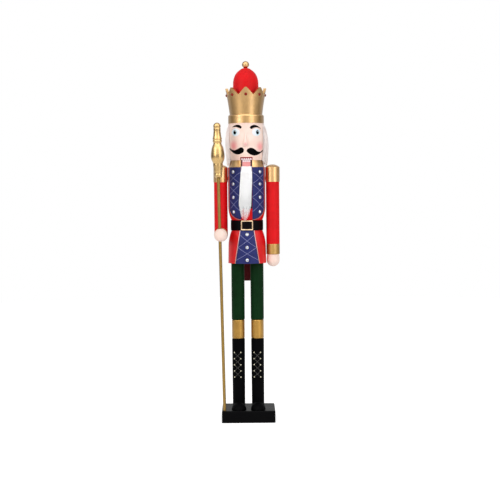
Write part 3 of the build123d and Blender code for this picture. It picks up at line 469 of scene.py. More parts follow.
@dataclass(frozen=True)
class Metal:
    """Bare or plated metal with the fine lines of its drawing or polishing."""

    name: str
    colour: str
    deep: str
    roughness: float = 0.28
    grain: Grain = Grain.ALONG_X

    @functools.cache
    def material(self) -> Material:
        """Builds the material once.

        Returns:
            The material: polishing lines of 0.5 by 25 mm, and tarnish of 12 mm.
        """
        material, tree, shader, coords = start_material(self.name)
        along = add_node(tree, "Mapping", Vector=coords, Scale=self.grain.stretch(0.5 * MM, 25 * MM))
        lines = add_node(tree, "TexNoise", Vector=along, Scale=1.0, Detail=3.0)
        tarnish = add_node(tree, "TexNoise", Vector=coords, Scale=1 / (12 * MM), Detail=2.0)
        share = add_node(tree, "MapRange", SMOOTH, _0=tarnish, _1=0.35, _2=0.7)
        colour = add_node(tree, "Mix", TINTS, _0=share, _6=linear(self.colour), _7=linear(self.deep)).outputs[2]
        sleek, dull = self.roughness - 0.06, self.roughness + 0.08
        gloss = add_node(tree, "MapRange", SMOOTH, _0=lines, _1=0.3, _2=0.7, _3=sleek, _4=dull)
        bump = add_node(tree, "Bump", Height=lines, Strength=0.3, Distance=0.02 * MM)
        connect(tree, shader, Base_Color=colour, Metallic=1.0, Roughness=gloss, Normal=bump)
        return material


@dataclass(frozen=True)
class BareBeech:
    """Sanded beech: pale, with short brown flecks along the grain."""

    name: str
    colour: str
    deep: str
    grain: Grain = Grain.ALONG_Z

    @functools.cache
    def material(self) -> Material:
        """Builds the material once.

        Returns:
            The material: flecks of 0.8 by 6 mm, and rings of 5 by 80 mm.
        """
        material, tree, shader, coords = start_material(self.name)
        short = add_node(tree, "Mapping", Vector=coords, Scale=self.grain.stretch(0.8 * MM, 6 * MM))
        long = add_node(tree, "Mapping", Vector=coords, Scale=self.grain.stretch(5 * MM, 80 * MM))
        flecks = add_node(tree, "TexNoise", Vector=short, Scale=1.0, Detail=1.0)
        rings = add_node(tree, "TexNoise", Vector=long, Scale=1.0, Detail=3.0)
        figure = add_node(tree, "Math", TIMES_PLUS, _0=flecks, _1=0.6, _2=rings)
        share = add_node(tree, "MapRange", SMOOTH, _0=figure, _1=0.6, _2=1.1)
        colour = add_node(tree, "Mix", TINTS, _0=share, _6=linear(self.colour), _7=linear(self.deep)).outputs[2]
        bump = add_node(tree, "Bump", Height=flecks, Strength=0.4, Distance=0.05 * MM)
        connect(tree, shader, Base_Color=colour, Roughness=0.62, Normal=bump)
        return material


@dataclass(frozen=True)
class PileFur:
    """Long acrylic pile: white fibres, each darker at its root where its neighbours shade it."""

    name: str
    root: str
    tip: str

    @functools.cache
    def material(self) -> Material:
        """Builds the material once.

        Returns:
            The material: colour by the fibre's own map, root to tip along v, and one fibre to each step of u.
        """
        material, tree, shader, _ = start_material(self.name)
        fibre = add_node(tree, "UVMap", {"uv_map": BAKE_MAP})
        u, v, _ = add_node(tree, "SeparateXYZ", _0=fibre).outputs
        own = add_node(tree, "TexNoise", {"noise_dimensions": "1D"}, W=u, Scale=900.0, Detail=0.0)
        change = add_node(tree, "Math", MINUS, _0=own, _1=0.5)
        along = add_node(tree, "Math", TIMES_PLUS, _0=change, _1=0.5, _2=v)
        share = add_node(tree, "MapRange", SMOOTH, _0=along, _1=0.0, _2=0.6)
        colour = add_node(tree, "Mix", TINTS, _0=share, _6=linear(self.root), _7=linear(self.tip)).outputs[2]
        connect(tree, shader, Base_Color=colour, Roughness=0.6, Sheen_Weight=0.8, Sheen_Roughness=0.5)
        return material


Finish = (
    PaintedWood | GoldPaint | SatinRibbon | SpunThread | GrainedVinyl | CutAcrylic | Metal | BareBeech | PileFur
)

RED_ENAMEL = PaintedWood("red_enamel_sprayed_on_beech", "#E01218", "#D00E14")
COAT_ENAMEL = PaintedWood("red_gloss_enamel_on_beech", "#E01218", "#D00E14", roughness=0.35, shine=0.4)
RED_ENAMEL_FORWARD = PaintedWood("red_enamel_on_beech_grain_forward", "#E01218", "#D00E14", grain=Grain.ALONG_Y)
# The lever is a darker red than the coat.
LEVER_DARK_RED = PaintedWood("dark_red_enamel_on_beech_board", "#4E0A10", "#3A070C")
GREEN_ENAMEL = PaintedWood("dark_green_enamel_on_beech", "#0B2C12", "#09240F", shine=0.05)
BOOT_ENAMEL = PaintedWood("black_enamel_on_beech", "#020203", "#030304", roughness=0.6, shine=0.03)
PLINTH_ENAMEL = PaintedWood(
    "black_enamel_on_beech_block", "#030304", "#050506", roughness=0.3, shine=0.04, grain=Grain.ALONG_X
)
SKIN_ENAMEL = PaintedWood("skin_enamel_sprayed_on_beech", "#FBE2D6", "#F7D8CA")
JAW_ENAMEL = PaintedWood("pink_enamel_on_beech_jaw", "#EC9F9F", "#E59393")
# The gum's dark red is made lighter, as painted light for the shade behind the teeth.
GUM_ENAMEL_WITH_PAINTED_LIGHT = PaintedWood("dark_red_enamel_on_beech_gum", "#C04A48", "#AA3C3A")
TOOTH_ENAMEL = PaintedWood("white_enamel_on_beech_teeth", "#F6E6EA", "#EEDADF", roughness=0.4, shine=0.3)
BLACK_BRUSHWORK = PaintedWood(
    "black_enamel_brushed_thick", "#020203", "#040405", roughness=0.4, shine=0.02, grain=Grain.ALONG_X
)
WHITE_BRUSHWORK = PaintedWood("white_enamel_brushed_thick", "#EDEFF4", "#F4F5F9", grain=Grain.ALONG_X)
BLUE_BRUSHWORK = PaintedWood("pale_blue_enamel_brushed_thick", "#CDE7F2", "#D9EEF6", grain=Grain.ALONG_X)
LID_BRUSHWORK = PaintedWood("grey_brown_enamel_brushed_thin", "#B7A5A4", "#C6B4B2", grain=Grain.ALONG_X)
# GOLD is the lacquer's own colour. The copies below are the same lacquer: lighter on the caps as painted light,
# and darker on the garters, cuffs, staff and finial as painted shade.
GOLD = GoldPaint("gold_lacquer_brushed_on_beech", "#C29448", "#B2853A")
CAP_GOLD_PAINTED_LIGHT = GoldPaint("gold_lacquer_on_turned_caps", "#D6A660", "#CA9950")
GARTER_GOLD_PAINTED_SHADE = GoldPaint("gold_lacquer_on_beech_drum_painted_shade", "#A87C22", "#9A7018", lacquer_index=1.5)
CUFF_GOLD_PAINTED_SHADE = GoldPaint("gold_lacquer_brushed_on_beech_cuff", "#AE843A", "#A27A30", roughness=0.48, lacquer=0.5)
STAFF_GOLD_PAINTED_SHADE = GoldPaint(
    "gold_lacquer_on_turned_staff", "#8E7034", "#84682E", roughness=0.45, lacquer=0.15, relief=0.001 * MM
)
FINIAL_GOLD_PAINTED_SHADE = GoldPaint("gold_lacquer_on_turned_finial", "#B8903C", "#A98230", roughness=0.28, relief=0.002 * MM)
GOLD_FORWARD_PAINTED_SHADE = GoldPaint(
    "gold_lacquer_on_beech_grain_forward", "#AE843A", "#A27A30", roughness=0.48, lacquer=0.5, grain=Grain.ALONG_Y
)
NAVY_SATIN = SatinRibbon("navy_polyester_satin", "#232A68", "#1C2258")
LATTICE_TAPE = SpunThread("lavender_rayon_tape", "#8E90BE", "#7678A8")
TAN_CORD = SpunThread("tan_rayon_cord", "#A99084", "#8A7166")
BOOT_LACE = SpunThread("grey_waxed_cotton_lace", "#5F5D5A", "#4C4A48")
BELT_VINYL = GrainedVinyl("black_grained_vinyl", "#040405", "#020203")
CLEAR_STONE = CutAcrylic("foil_backed_clear_acrylic", "#DCE3FA", "#8C94C8", foil=0.45)
GARNET = CutAcrylic(
    "garnet_red_acrylic_cabochon", "#861408", "#6C0D05", foil=0.0, facet=6 * MM, roughness=0.35, lacquer=0.0,
    shine=0.2,
)
PALE_GOLD_PLATE = Metal("pale_gold_plated_zinc", "#DCC3A0", "#C9AE88", roughness=0.3)
PEARL_STUD = Metal("silver_pearl_lacquered_studs", "#C8C3AC", "#A9A58F", roughness=0.4)
ZINC_STEEL = Metal("zinc_plated_screw_steel", "#B9BBBE", "#9A9C9F", roughness=0.35)
BEECH = BareBeech("sanded_beech_dowel", "#E2C79E", "#C39C6C")
HAIR_FUR = PileFur("white_acrylic_pile_hair", "#F8EAE6", "#FFF7F4")
BEARD_FUR = PileFur("white_acrylic_pile_beard", "#FBFAFA", "#FFFFFF")


# ---- Surfaces --------------------------------------------------------------------------------------------
PAINT_FILM = 0.12 * MM  # how far the rim of a brush stroke stands off the wood
PAINT_ROOT = 0.4 * MM  # how deep brushwork is closed under the wood's surface


def unit(vectors: Array) -> Array:
    """The vectors, each with a length of 1."""
    return vectors / np.linalg.norm(vectors, axis=-1, keepdims=True)


def ease(share: Array) -> Array:
    """A smooth step: 0 up to 0, 1 from 1, and 3 s squared less 2 s cubed between."""
    held = np.clip(share, 0, 1)
    return held * held * (3 - 2 * held)


def smooth_line(points: Line | Array, count: int) -> Array:
    """Carries a smooth line through a few points.

    It is a cubic between each two points, whose slope at a point is that of the chords beside it, weighted by
    their lengths.

    Args:
        points: the points, in any number of dimensions.
        count: how many points to return, evenly spaced along the chords.

    Returns:
        The line's points, as an array.
    """
    through = np.asarray(points, float)
    knots = np.concatenate([[0.0], np.cumsum(np.linalg.norm(np.diff(through, axis=0), axis=1))])
    slopes = np.gradient(through, knots, axis=0)
    along = np.linspace(0, knots[-1], count)
    before = np.clip(np.searchsorted(knots, along, side="right") - 1, 0, len(knots) - 2)
    width = (knots[before + 1] - knots[before])[:, None]
    s = (along - knots[before])[:, None] / width
    start = (2 * s**3 - 3 * s**2 + 1) * through[before] + (s**3 - 2 * s**2 + s) * width * slopes[before]
    return start + (3 * s**2 - 2 * s**3) * through[before + 1] + (s**3 - s**2) * width * slopes[before + 1]


def node_points(node: str) -> Array:
    """Reads a CAD node's vertices.

    Args:
        node: the CAD node.

    Returns:
        The points in metres, of shape (points, 3).
    """
    mesh = NODES[node].data
    flat = np.empty(3 * len(mesh.vertices), np.float32)
    mesh.vertices.foreach_get("co", flat)
    return flat.reshape(-1, 3).astype(float)


class TurnedSurface:
    """The outside of a turned CAD node: how far it stands from its upright axis at each height.

    Only bulging outlines are read: the outline is the outer hull of the node's points between two heights.
    """

    def __init__(self, node: str, low: float = 0.0, high: float = ANYWHERE, layer: float = 0.0) -> None:
        """Reads the node.

        Args:
            node: the CAD node.
            low: the lowest height that counts, in metres.
            high: the highest.
            layer: the thickness of what lies on the node.
        """
        points = node_points(node)
        self.axis = (points.min(0) + points.max(0))[:2] / 2
        held = points[(points[:, 2] > low - MM) & (points[:, 2] < high + MM)]
        levels, place = np.unique(np.round(held[:, 2], 5), return_inverse=True)
        reach = np.zeros(len(levels))
        np.maximum.at(reach, place, np.linalg.norm(held[:, :2] - self.axis, axis=1))
        while True:
            sunk = np.flatnonzero(np.diff(np.diff(reach) / np.diff(levels)) > 1e-6) + 1
            if not len(sunk):
                break
            levels, reach = np.delete(levels, sunk), np.delete(reach, sunk)
        self.levels, self.reach = levels, reach + layer

    def radius(self, z: Array) -> Array:
        """The distance from the axis at each height."""
        return np.interp(z, self.levels, self.reach)

    def place(self, x: Array, z: Array, lift: Array | float = 0.0) -> tuple[Array, Array]:
        """Finds points on the front of the surface.

        The angle round the axis is the arcsine of x over the radius, and the normal leans with the outline.

        Args:
            x: places across, as seen from the front, in metres.
            z: heights.
            lift: how far each point stands off the surface.

        Returns:
            The points, and the unit normals there.
        """
        x, z = np.broadcast_arrays(np.asarray(x, float), np.asarray(z, float))
        radius = self.radius(z)
        slope = (self.radius(z + 2 * MM) - self.radius(z - 2 * MM)) / (4 * MM)
        sine = np.clip((x - self.axis[0]) / radius, -0.999, 0.999)
        cosine = np.sqrt(1 - sine**2)
        normal = unit(np.stack([sine, -cosine, -slope], -1))
        foot = np.stack([self.axis[0] + radius * sine, self.axis[1] - radius * cosine, z], -1)
        return foot + normal * np.broadcast_to(lift, x.shape)[..., None], normal


def swept_rings(
    path: Array,
    up: Array,
    half_width: Array | float,
    half_height: Array | float,
    sides: int = 8,
    closed: bool = False,
) -> Array:
    """Carries an oval along paths.

    Each ring is the path's point plus across * cosine * half_width plus upright * sine * half_height, where
    across is square to the path and to up.

    Args:
        path: points of shape (..., points, 3).
        up: the direction that the oval's height follows, of the same shape or one vector.
        half_width: half of the oval's width, one number or one for each point.
        half_height: half of its height.
        sides: how many points a ring has.
        closed: the path's last point leads back to its first.

    Returns:
        Rings of shape (..., points, sides, 3).
    """
    if closed:
        ahead = np.roll(path, -1, -2) - np.roll(path, 1, -2)
    else:
        ahead = np.gradient(path, axis=-2)
    across = unit(np.cross(unit(ahead), up))
    upright = unit(np.cross(across, ahead))
    angle = np.linspace(0, math.tau, sides, endpoint=False)[:, None]
    wide = np.broadcast_to(half_width, path.shape[:-1])[..., None, None]
    high = np.broadcast_to(half_height, path.shape[:-1])[..., None, None]
    oval = across[..., None, :] * np.cos(angle) * wide + upright[..., None, :] * np.sin(angle) * high
    return path[..., None, :] + oval


def turned_rings(outline: Line | Array, centre: Array, axis: Array, sides: int = 24) -> Array:
    """Turns outlines about axes.

    Each ring is the centre plus axis * height plus radius times a circle square to the axis.

    Args:
        outline: (radius, height) points in metres.
        centre: the foot of each axis, of shape (copies, 3).
        axis: unit vectors of the same shape.
        sides: how many points a ring has.

    Returns:
        Rings of shape (copies, points, sides, 3).
    """
    radius, height = np.asarray(outline, float).T
    other = np.where(np.abs(axis[:, 2:]) > 0.9, [[1.0, 0.0, 0.0]], [[0.0, 0.0, 1.0]])
    first = unit(np.cross(axis, other))
    second = np.cross(axis, first)
    angle = np.linspace(0, math.tau, sides, endpoint=False)[:, None]
    circle = first[:, None, None] * np.cos(angle) + second[:, None, None] * np.sin(angle)
    return centre[:, None, None] + axis[:, None, None] * height[:, None, None] + circle * radius[:, None, None]


def lens_rings(
    surface: TurnedSurface, centre: tuple[float, float], half: tuple[float, float], base: float, rise: float
) -> Array:
    """Lays an oval dab of paint on a turned surface.

    Ovals grow from the centre to the rim, lifted by base plus rise * the root of 1 less the share squared, then
    shrink again under the surface.

    Args:
        surface: what it lies on.
        centre: across and up, in metres.
        half: half of its width and of its height.
        base: how far its rim stands off the surface.
        rise: how much further its middle stands off.

    Returns:
        Rings of shape (1, rings, points, 3).
    """
    share = np.sin(np.linspace(0.02, 1.0, 7) * math.pi / 2)
    lift = base + rise * np.sqrt(1 - share**2)
    share = np.concatenate([share, [0.98, 0.02]])[:, None]
    lift = np.concatenate([lift, [-PAINT_ROOT, -PAINT_ROOT]])[:, None]
    angle = np.linspace(0, math.tau, 40, endpoint=False)
    x = centre[0] + half[0] * share * np.cos(angle)
    z = centre[1] + half[1] * share * np.sin(angle)
    return surface.place(x, z, np.broadcast_to(lift, x.shape))[0][None]


def film_rings(
    surface: TurnedSurface, upper: Line, lower: Line, origin: tuple[float, float], rise: float
) -> Array:
    """Lays a brush stroke on a turned surface, between an upper and a lower line.

    Each ring crosses the stroke on its front, lifted by a film's thickness plus rise * the root of 1 less
    (2 u - 1) squared, and comes back under the surface. The rise fades at both ends.

    Args:
        surface: what it lies on.
        upper: (across, up) points in millimetres from the origin.
        lower: the same number of points or another, from the same end.
        origin: where 0, 0 is, in metres.
        rise: how far the stroke's middle stands off the surface.

    Returns:
        Rings of shape (1, rings, points, 3).
    """
    count, wide = 44, 9
    top, bottom = (smooth_line(line, count) * MM + origin for line in (upper, lower))
    u = np.linspace(0, 1, wide)
    t = np.linspace(0, 1, count)[:, None]
    front = top[:, None] + (bottom - top)[:, None] * u[:, None]
    lift = PAINT_FILM + rise * np.sqrt(1 - (2 * u - 1) ** 2) * ease(np.minimum(t, 1 - t) / 0.08)
    loop = np.concatenate([front, front[:, ::-1]], 1)
    lifts = np.concatenate([lift, np.full_like(lift, -PAINT_ROOT)], 1)
    return surface.place(loop[..., 0], loop[..., 1], lifts)[0][None]


@dataclass
class Loft:
    """Closed solids, each one a stack of closed rings.

    Attributes:
        rings: points of shape (copies, rings, points, 3).
        joined: the last ring meets the first, as in a hoop. Otherwise a flat cap closes each end.
        map: places on the bake map, of shape (copies, rings, points, 2), if the finish reads them.
    """

    rings: Array
    joined: bool = False
    map: Array | None = None

    def faces(self) -> tuple[list[list[int]], int]:
        """Numbers the faces, all pointing outwards.

        Returns:
            The faces as lists of places in the flattened rings, and how many points there are.
        """
        copies, rings, points = self.rings.shape[:3]
        index = np.arange(copies * rings * points).reshape(copies, rings, points)
        here, ahead = (index, np.roll(index, -1, 1)) if self.joined else (index[:, :-1], index[:, 1:])
        quads = np.stack([here, np.roll(here, -1, 2), np.roll(ahead, -1, 2), ahead], -1).reshape(-1, 4)
        caps = np.zeros((0, points), int)
        if not self.joined:
            caps = np.concatenate([index[:, 0, ::-1], index[:, -1]])
        flat = self.rings.reshape(-1, 3) - self.rings.reshape(-1, 3).mean(0)
        a, b, c, d = (flat[quads[:, i]] for i in range(4))
        volume = np.einsum("ij,ij->", a, np.cross(b, c)) + np.einsum("ij,ij->", a, np.cross(c, d))
        if volume < 0:
            quads, caps = quads[:, ::-1], caps[:, ::-1]
        return quads.tolist() + caps.tolist(), copies * rings * points


def add_piece(
    name: str, lofts: list[Loft], finish: Finish, body: str = "figure", crease: float = 40.0
) -> Piece:
    """Makes one piece from lofts.

    Args:
        name: the piece's name.
        lofts: its closed solids.
        finish: what it is made of.
        body: the CAD body that it rides on, or "" to leave it on no body.
        crease: the angle in degrees past which an edge is sharp.

    Returns:
        The new object, at the origin, with its place in its mesh.
    """
    points, faces, total = [], [], 0
    for loft in lofts:
        own, count = loft.faces()
        faces += [[i + total for i in face] for face in own] if total else own
        points.append(loft.rings.reshape(-1, 3))
        total += count
    mesh = bpy.data.meshes.new(name)
    mesh.from_pydata(np.concatenate(points), [], faces)
    if lofts[0].map is not None:
        corners = np.empty(len(mesh.loops), np.int32)
        mesh.loops.foreach_get("vertex_index", corners)
        places = np.concatenate([loft.map.reshape(-1, 2) for loft in lofts])[corners]
        mesh.uv_layers.new(name=BAKE_MAP).uv.foreach_set("vector", places.astype(np.float32).ravel())
    mesh.polygons.foreach_set("use_smooth", np.ones(len(mesh.polygons), bool))
    mesh.set_sharp_from_angle(angle=math.radians(crease))
    mesh.materials.append(finish.material())
    piece = bpy.data.objects.new(name, mesh)
    bpy.context.scene.collection.objects.link(piece)
    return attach(piece, body) if body else piece


def dress(finish: Finish, *nodes: str) -> list[Piece]:
    """Gives CAD nodes their finish.

    Args:
        finish: what they are made of.
        nodes: the CAD nodes.

    Returns:
        Their objects.
    """
    for node in nodes:
        NODES[node].data.materials.clear()
        NODES[node].data.materials.append(finish.material())
    return [NODES[node] for node in nodes]


# ---- Sub-assemblies --------------------------------------------------------------------------------------
@dataclass(frozen=True)
class Softbox:
    """A rectangular area light that faces the figure's middle.

    Attributes:
        name: the light's name.
        azimuth: degrees from the camera's side, towards +X.
        away: metres from the figure's axis.
        height: metres above the floor.
        power: watts.
        size: width and height in metres.
    """

    name: str
    azimuth: float
    away: float
    height: float
    power: float
    size: tuple[float, float]

    def hang(self) -> None:
        """Hangs the light."""
        light = bpy.data.lights.new(self.name, "AREA")
        light.shape, light.size, light.size_y, light.energy = "RECTANGLE", *self.size, self.power
        lamp = bpy.data.objects.new(self.name, light)
        turn = math.radians(self.azimuth)
        lamp.location = (self.away * math.sin(turn), -self.away * math.cos(turn), self.height)
        middle = (CAD_BOX[0] + CAD_BOX[1]) / 2
        lamp.rotation_euler = (middle - lamp.location).to_track_quat("-Z", "Y").to_euler()
        bpy.context.scene.collection.objects.link(lamp)


@dataclass
class Studio:
    """The pale floor, the white surroundings, two softboxes, a top light and the camera.

    Attributes:
        floor_radius: metres.
        floor_tones: the floor's two colours.
        floor_glow: how bright the camera and mirrors see the floor, past the light on it.
        eye: where the camera stands, in metres.
        pitch: how far it looks up, in degrees.
        roll: how far it is rolled, in degrees, so that the figure leans as it should.
        lens: its focal length in millimetres, on a sensor 36 mm wide.
        shift: its shift across and up, in shares of the sensor's width.
        ambient: the even light from all round.
        far_wall: what mirrors see behind the figure, by their direction's y.
        walls: what they see all round at its own height, by the direction's z.
        ceiling: what the ceiling adds, by z.
        near_side: how much of the walls and the ceiling they see towards the camera, by y.
        lamps: the area lights.
    """

    floor_radius: float = 6.0
    floor_tones: tuple[str, str] = ("#F1F1F1", "#F5F5F5")
    floor_glow: float = 0.55
    eye: tuple[float, float, float] = (0.0, -5.105, 0.950)
    pitch: float = -1.855
    roll: float = -0.52
    lens: float = 87.76
    shift: tuple[float, float] = (0.0059, -0.035)
    ambient: float = 0.60
    far_wall: Span = (0.1, 0.6, 0.0, 0.5)
    walls: Span = (-0.25, 0.1, 0.12, 0.55)
    ceiling: Span = (0.12, 0.4, 0.0, 2.0)
    near_side: Span = (-0.35, 0.15, 1.0, 0.08)
    lamps: tuple[Softbox, ...] = (
        Softbox("key", azimuth=37.0, away=3.2, height=1.5, power=26.5, size=(1.4, 2.4)),
        Softbox("fill", azimuth=-42.0, away=3.4, height=1.9, power=33.0, size=(1.4, 1.6)),
        Softbox("top", azimuth=0.0, away=1.2, height=3.6, power=13.0, size=(2.2, 1.4)),
    )

    def build(self) -> list[Piece]:
        """Builds the studio.

        Returns:
            Nothing, because none of it is part of the object.
        """
        bpy.context.scene.view_settings.view_transform = "Standard"
        self.camera()
        self.world()
        self.floor()
        for lamp in self.lamps:
            lamp.hang()
        return []

    def camera(self) -> None:
        """Stands the camera in front of the figure, rolled a little so that the figure leans as it should."""
        camera = bpy.data.objects.new("camera", bpy.data.cameras.new("camera"))
        camera.data.lens, camera.data.sensor_width = self.lens, 36.0
        camera.data.shift_x, camera.data.shift_y = self.shift
        pitch = Matrix.Rotation(math.radians(90 + self.pitch), 4, "X")
        roll = Matrix.Rotation(math.radians(self.roll), 4, "Z")
        camera.matrix_world = Matrix.Translation(self.eye) @ pitch @ roll
        bpy.context.scene.collection.objects.link(camera)
        bpy.context.scene.camera = camera

    def world(self) -> None:
        """Makes the surroundings: white to the camera, even grey as light, and a room of its own in mirrors.

        In mirrors the strength is the far wall's, plus the walls' and ceiling's together times the near side's.
        """
        world = bpy.data.worlds.new("studio")
        bpy.context.scene.world = world
        world.use_nodes = True
        tree = world.node_tree
        ray = add_node(tree, "LightPath").outputs
        mirror = ray["Is Glossy Ray"]
        _, y, z = add_node(tree, "SeparateXYZ", _0=add_node(tree, "TexCoord").outputs["Generated"]).outputs
        far_wall, walls, ceiling, near_side = (
            add_node(tree, "MapRange", SMOOTH, _0=part, _1=start, _2=end, _3=before, _4=after)
            for part, (start, end, before, after) in (
                (y, self.far_wall), (z, self.walls), (z, self.ceiling), (y, self.near_side),
            )
        )
        room = add_node(tree, "Math", PLUS, _0=walls, _1=ceiling)
        mirrored = add_node(tree, "Math", TIMES_PLUS, _0=room, _1=near_side, _2=far_wall)
        soft = add_node(tree, "Math", TIMES_PLUS, _0=mirror, _1=-self.ambient, _2=self.ambient)
        light = add_node(tree, "Math", TIMES_PLUS, _0=mirror, _1=mirrored, _2=soft)
        seen = add_node(tree, "Math", LARGEST, _0=ray["Is Camera Ray"], _1=ray["Is Transmission Ray"])
        strength = add_node(tree, "Math", LARGEST, _0=light, _1=seen)
        connect(tree, tree.nodes["Background"], Strength=strength, Color=linear("#FFFFFF"))

    def floor(self) -> None:
        """Lays a pale disc that the camera sees as white, less the object's shadow."""
        angle = np.linspace(0, math.tau, 96, endpoint=False)
        rim = np.stack([np.cos(angle), np.sin(angle), 0 * angle], -1) * self.floor_radius
        mesh = bpy.data.meshes.new("floor")
        mesh.from_pydata(rim, [], [list(range(len(rim)))])
        material, tree, shader, coords = start_material("pale_studio_floor")
        clouds = add_node(tree, "TexNoise", Vector=coords, Scale=1 / 0.8, Detail=1.0)
        tone = add_node(tree, "MapRange", SMOOTH, _0=clouds, _1=0.3, _2=0.7)
        first, second = map(linear, self.floor_tones)
        colour = add_node(tree, "Mix", TINTS, _0=tone, _6=first, _7=second).outputs[2]
        ray = add_node(tree, "LightPath").outputs
        seen = add_node(tree, "Math", LARGEST, _0=ray["Is Camera Ray"], _1=ray["Is Glossy Ray"])
        glow = add_node(tree, "Math", TIMES, _0=seen, _1=self.floor_glow)
        connect(tree, shader, Base_Color=colour, Roughness=0.9, Specular_IOR_Level=0.0)
        connect(tree, shader, Emission_Color=linear("#FFFFFF"), Emission_Strength=glow)
        mesh.materials.append(material)
        floor = bpy.data.objects.new("floor", mesh)
        bpy.context.scene.collection.objects.link(floor)


@dataclass
class Legs:
    """Plinth, boots with their studs and laces, garters and trouser legs.

    Attributes:
        rows: how many rows of studs a boot has.
        lace_radius: of a lace's round section.
        stud_radius: of a stud's foot.
        stud_height: how far it stands off the boot.
        stud_sunk: how far its foot is sunk in the boot.
    """

    rows: int = 5
    lace_radius: float = 0.65 * MM
    stud_radius: float = 3.1 * MM
    stud_height: float = 2.0 * MM
    stud_sunk: float = 0.3 * MM

    def build(self) -> list[Piece]:
        """Builds the legs.

        Returns:
            The pieces.
        """
        pieces = dress(PLINTH_ENAMEL, "base_plinth") + dress(ZINC_STEEL, "leg_screws")
        for side in Side:
            name = side.name.lower()
            pieces += dress(BOOT_ENAMEL, f"{name}_shoe", f"{name}_boot")
            pieces += dress(GARTER_GOLD_PAINTED_SHADE, f"{name}_garter")
            pieces += dress(GREEN_ENAMEL, f"{name}_trouser_leg")
            pieces += self.lacing(name)
        return pieces

    def stud_places(self, name: str) -> Array:
        """Finds the studs: the mean of the CAD node's points in each row and column.

        Args:
            name: "right" or "left".

        Returns:
            The middle of each stud, of shape (rows, 2, 3): rows from the top, and in each -X before +X.
        """
        points = node_points(f"{name}_boot_eyelets")
        top, bottom = points[:, 2].max(), points[:, 2].min()
        pitch = (top - bottom - 2 * self.stud_radius) / (self.rows - 1)
        row = np.round((top - self.stud_radius - points[:, 2]) / pitch).astype(int)
        column = (points[:, 0] > points[:, 0].mean()).astype(int)
        total = np.zeros((self.rows, 2, 4))
        np.add.at(total, (row, column), np.concatenate([points, np.ones((len(points), 1))], 1))
        return total[..., :3] / total[..., 3:]

    def lacing(self, name: str) -> list[Piece]:
        """Makes a boot's studs, and the laces that cross from each row to the next.

        A stud is a quarter round turned about the boot's normal. A lace runs straight between two studs on the
        boot's outline, and its middle rises where it passes over the other.

        Args:
            name: "right" or "left".

        Returns:
            The studs and the laces.
        """
        boot = TurnedSurface(f"{name}_boot")
        places = self.stud_places(name)
        feet, normals = boot.place(places[..., 0], places[..., 2], -self.stud_sunk)
        bend = np.linspace(0, 0.98, 7) * math.pi / 2
        dome = np.stack([self.stud_radius * np.cos(bend), self.stud_height * np.sin(bend) + self.stud_sunk], -1)
        outline = np.concatenate([[[self.stud_radius, 0.0]], dome])
        studs = Loft(turned_rings(outline, feet.reshape(-1, 3), normals.reshape(-1, 3), 16))
        t = np.linspace(0, 1, 25)
        start, end = places[:-1], places[1:, ::-1]
        way = start[:, :, None] + (end - start)[:, :, None] * t[:, None]
        over = np.array([[0.2], [1.3]]) * MM * np.sin(math.pi * t)[None] ** 4
        lift = self.lace_radius + np.broadcast_to(over, way.shape[:-1])
        path, up = boot.place(way[..., 0], way[..., 2], lift)
        laces = Loft(swept_rings(path, up, self.lace_radius, self.lace_radius).reshape(-1, len(t), 8, 3))
        stud_piece = add_piece(f"{name}_boot_studs", [studs], PEARL_STUD)
        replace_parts(stud_piece, f"{name}_boot_eyelets")
        return [stud_piece, add_piece(f"{name}_boot_laces", [laces], BOOT_LACE)]


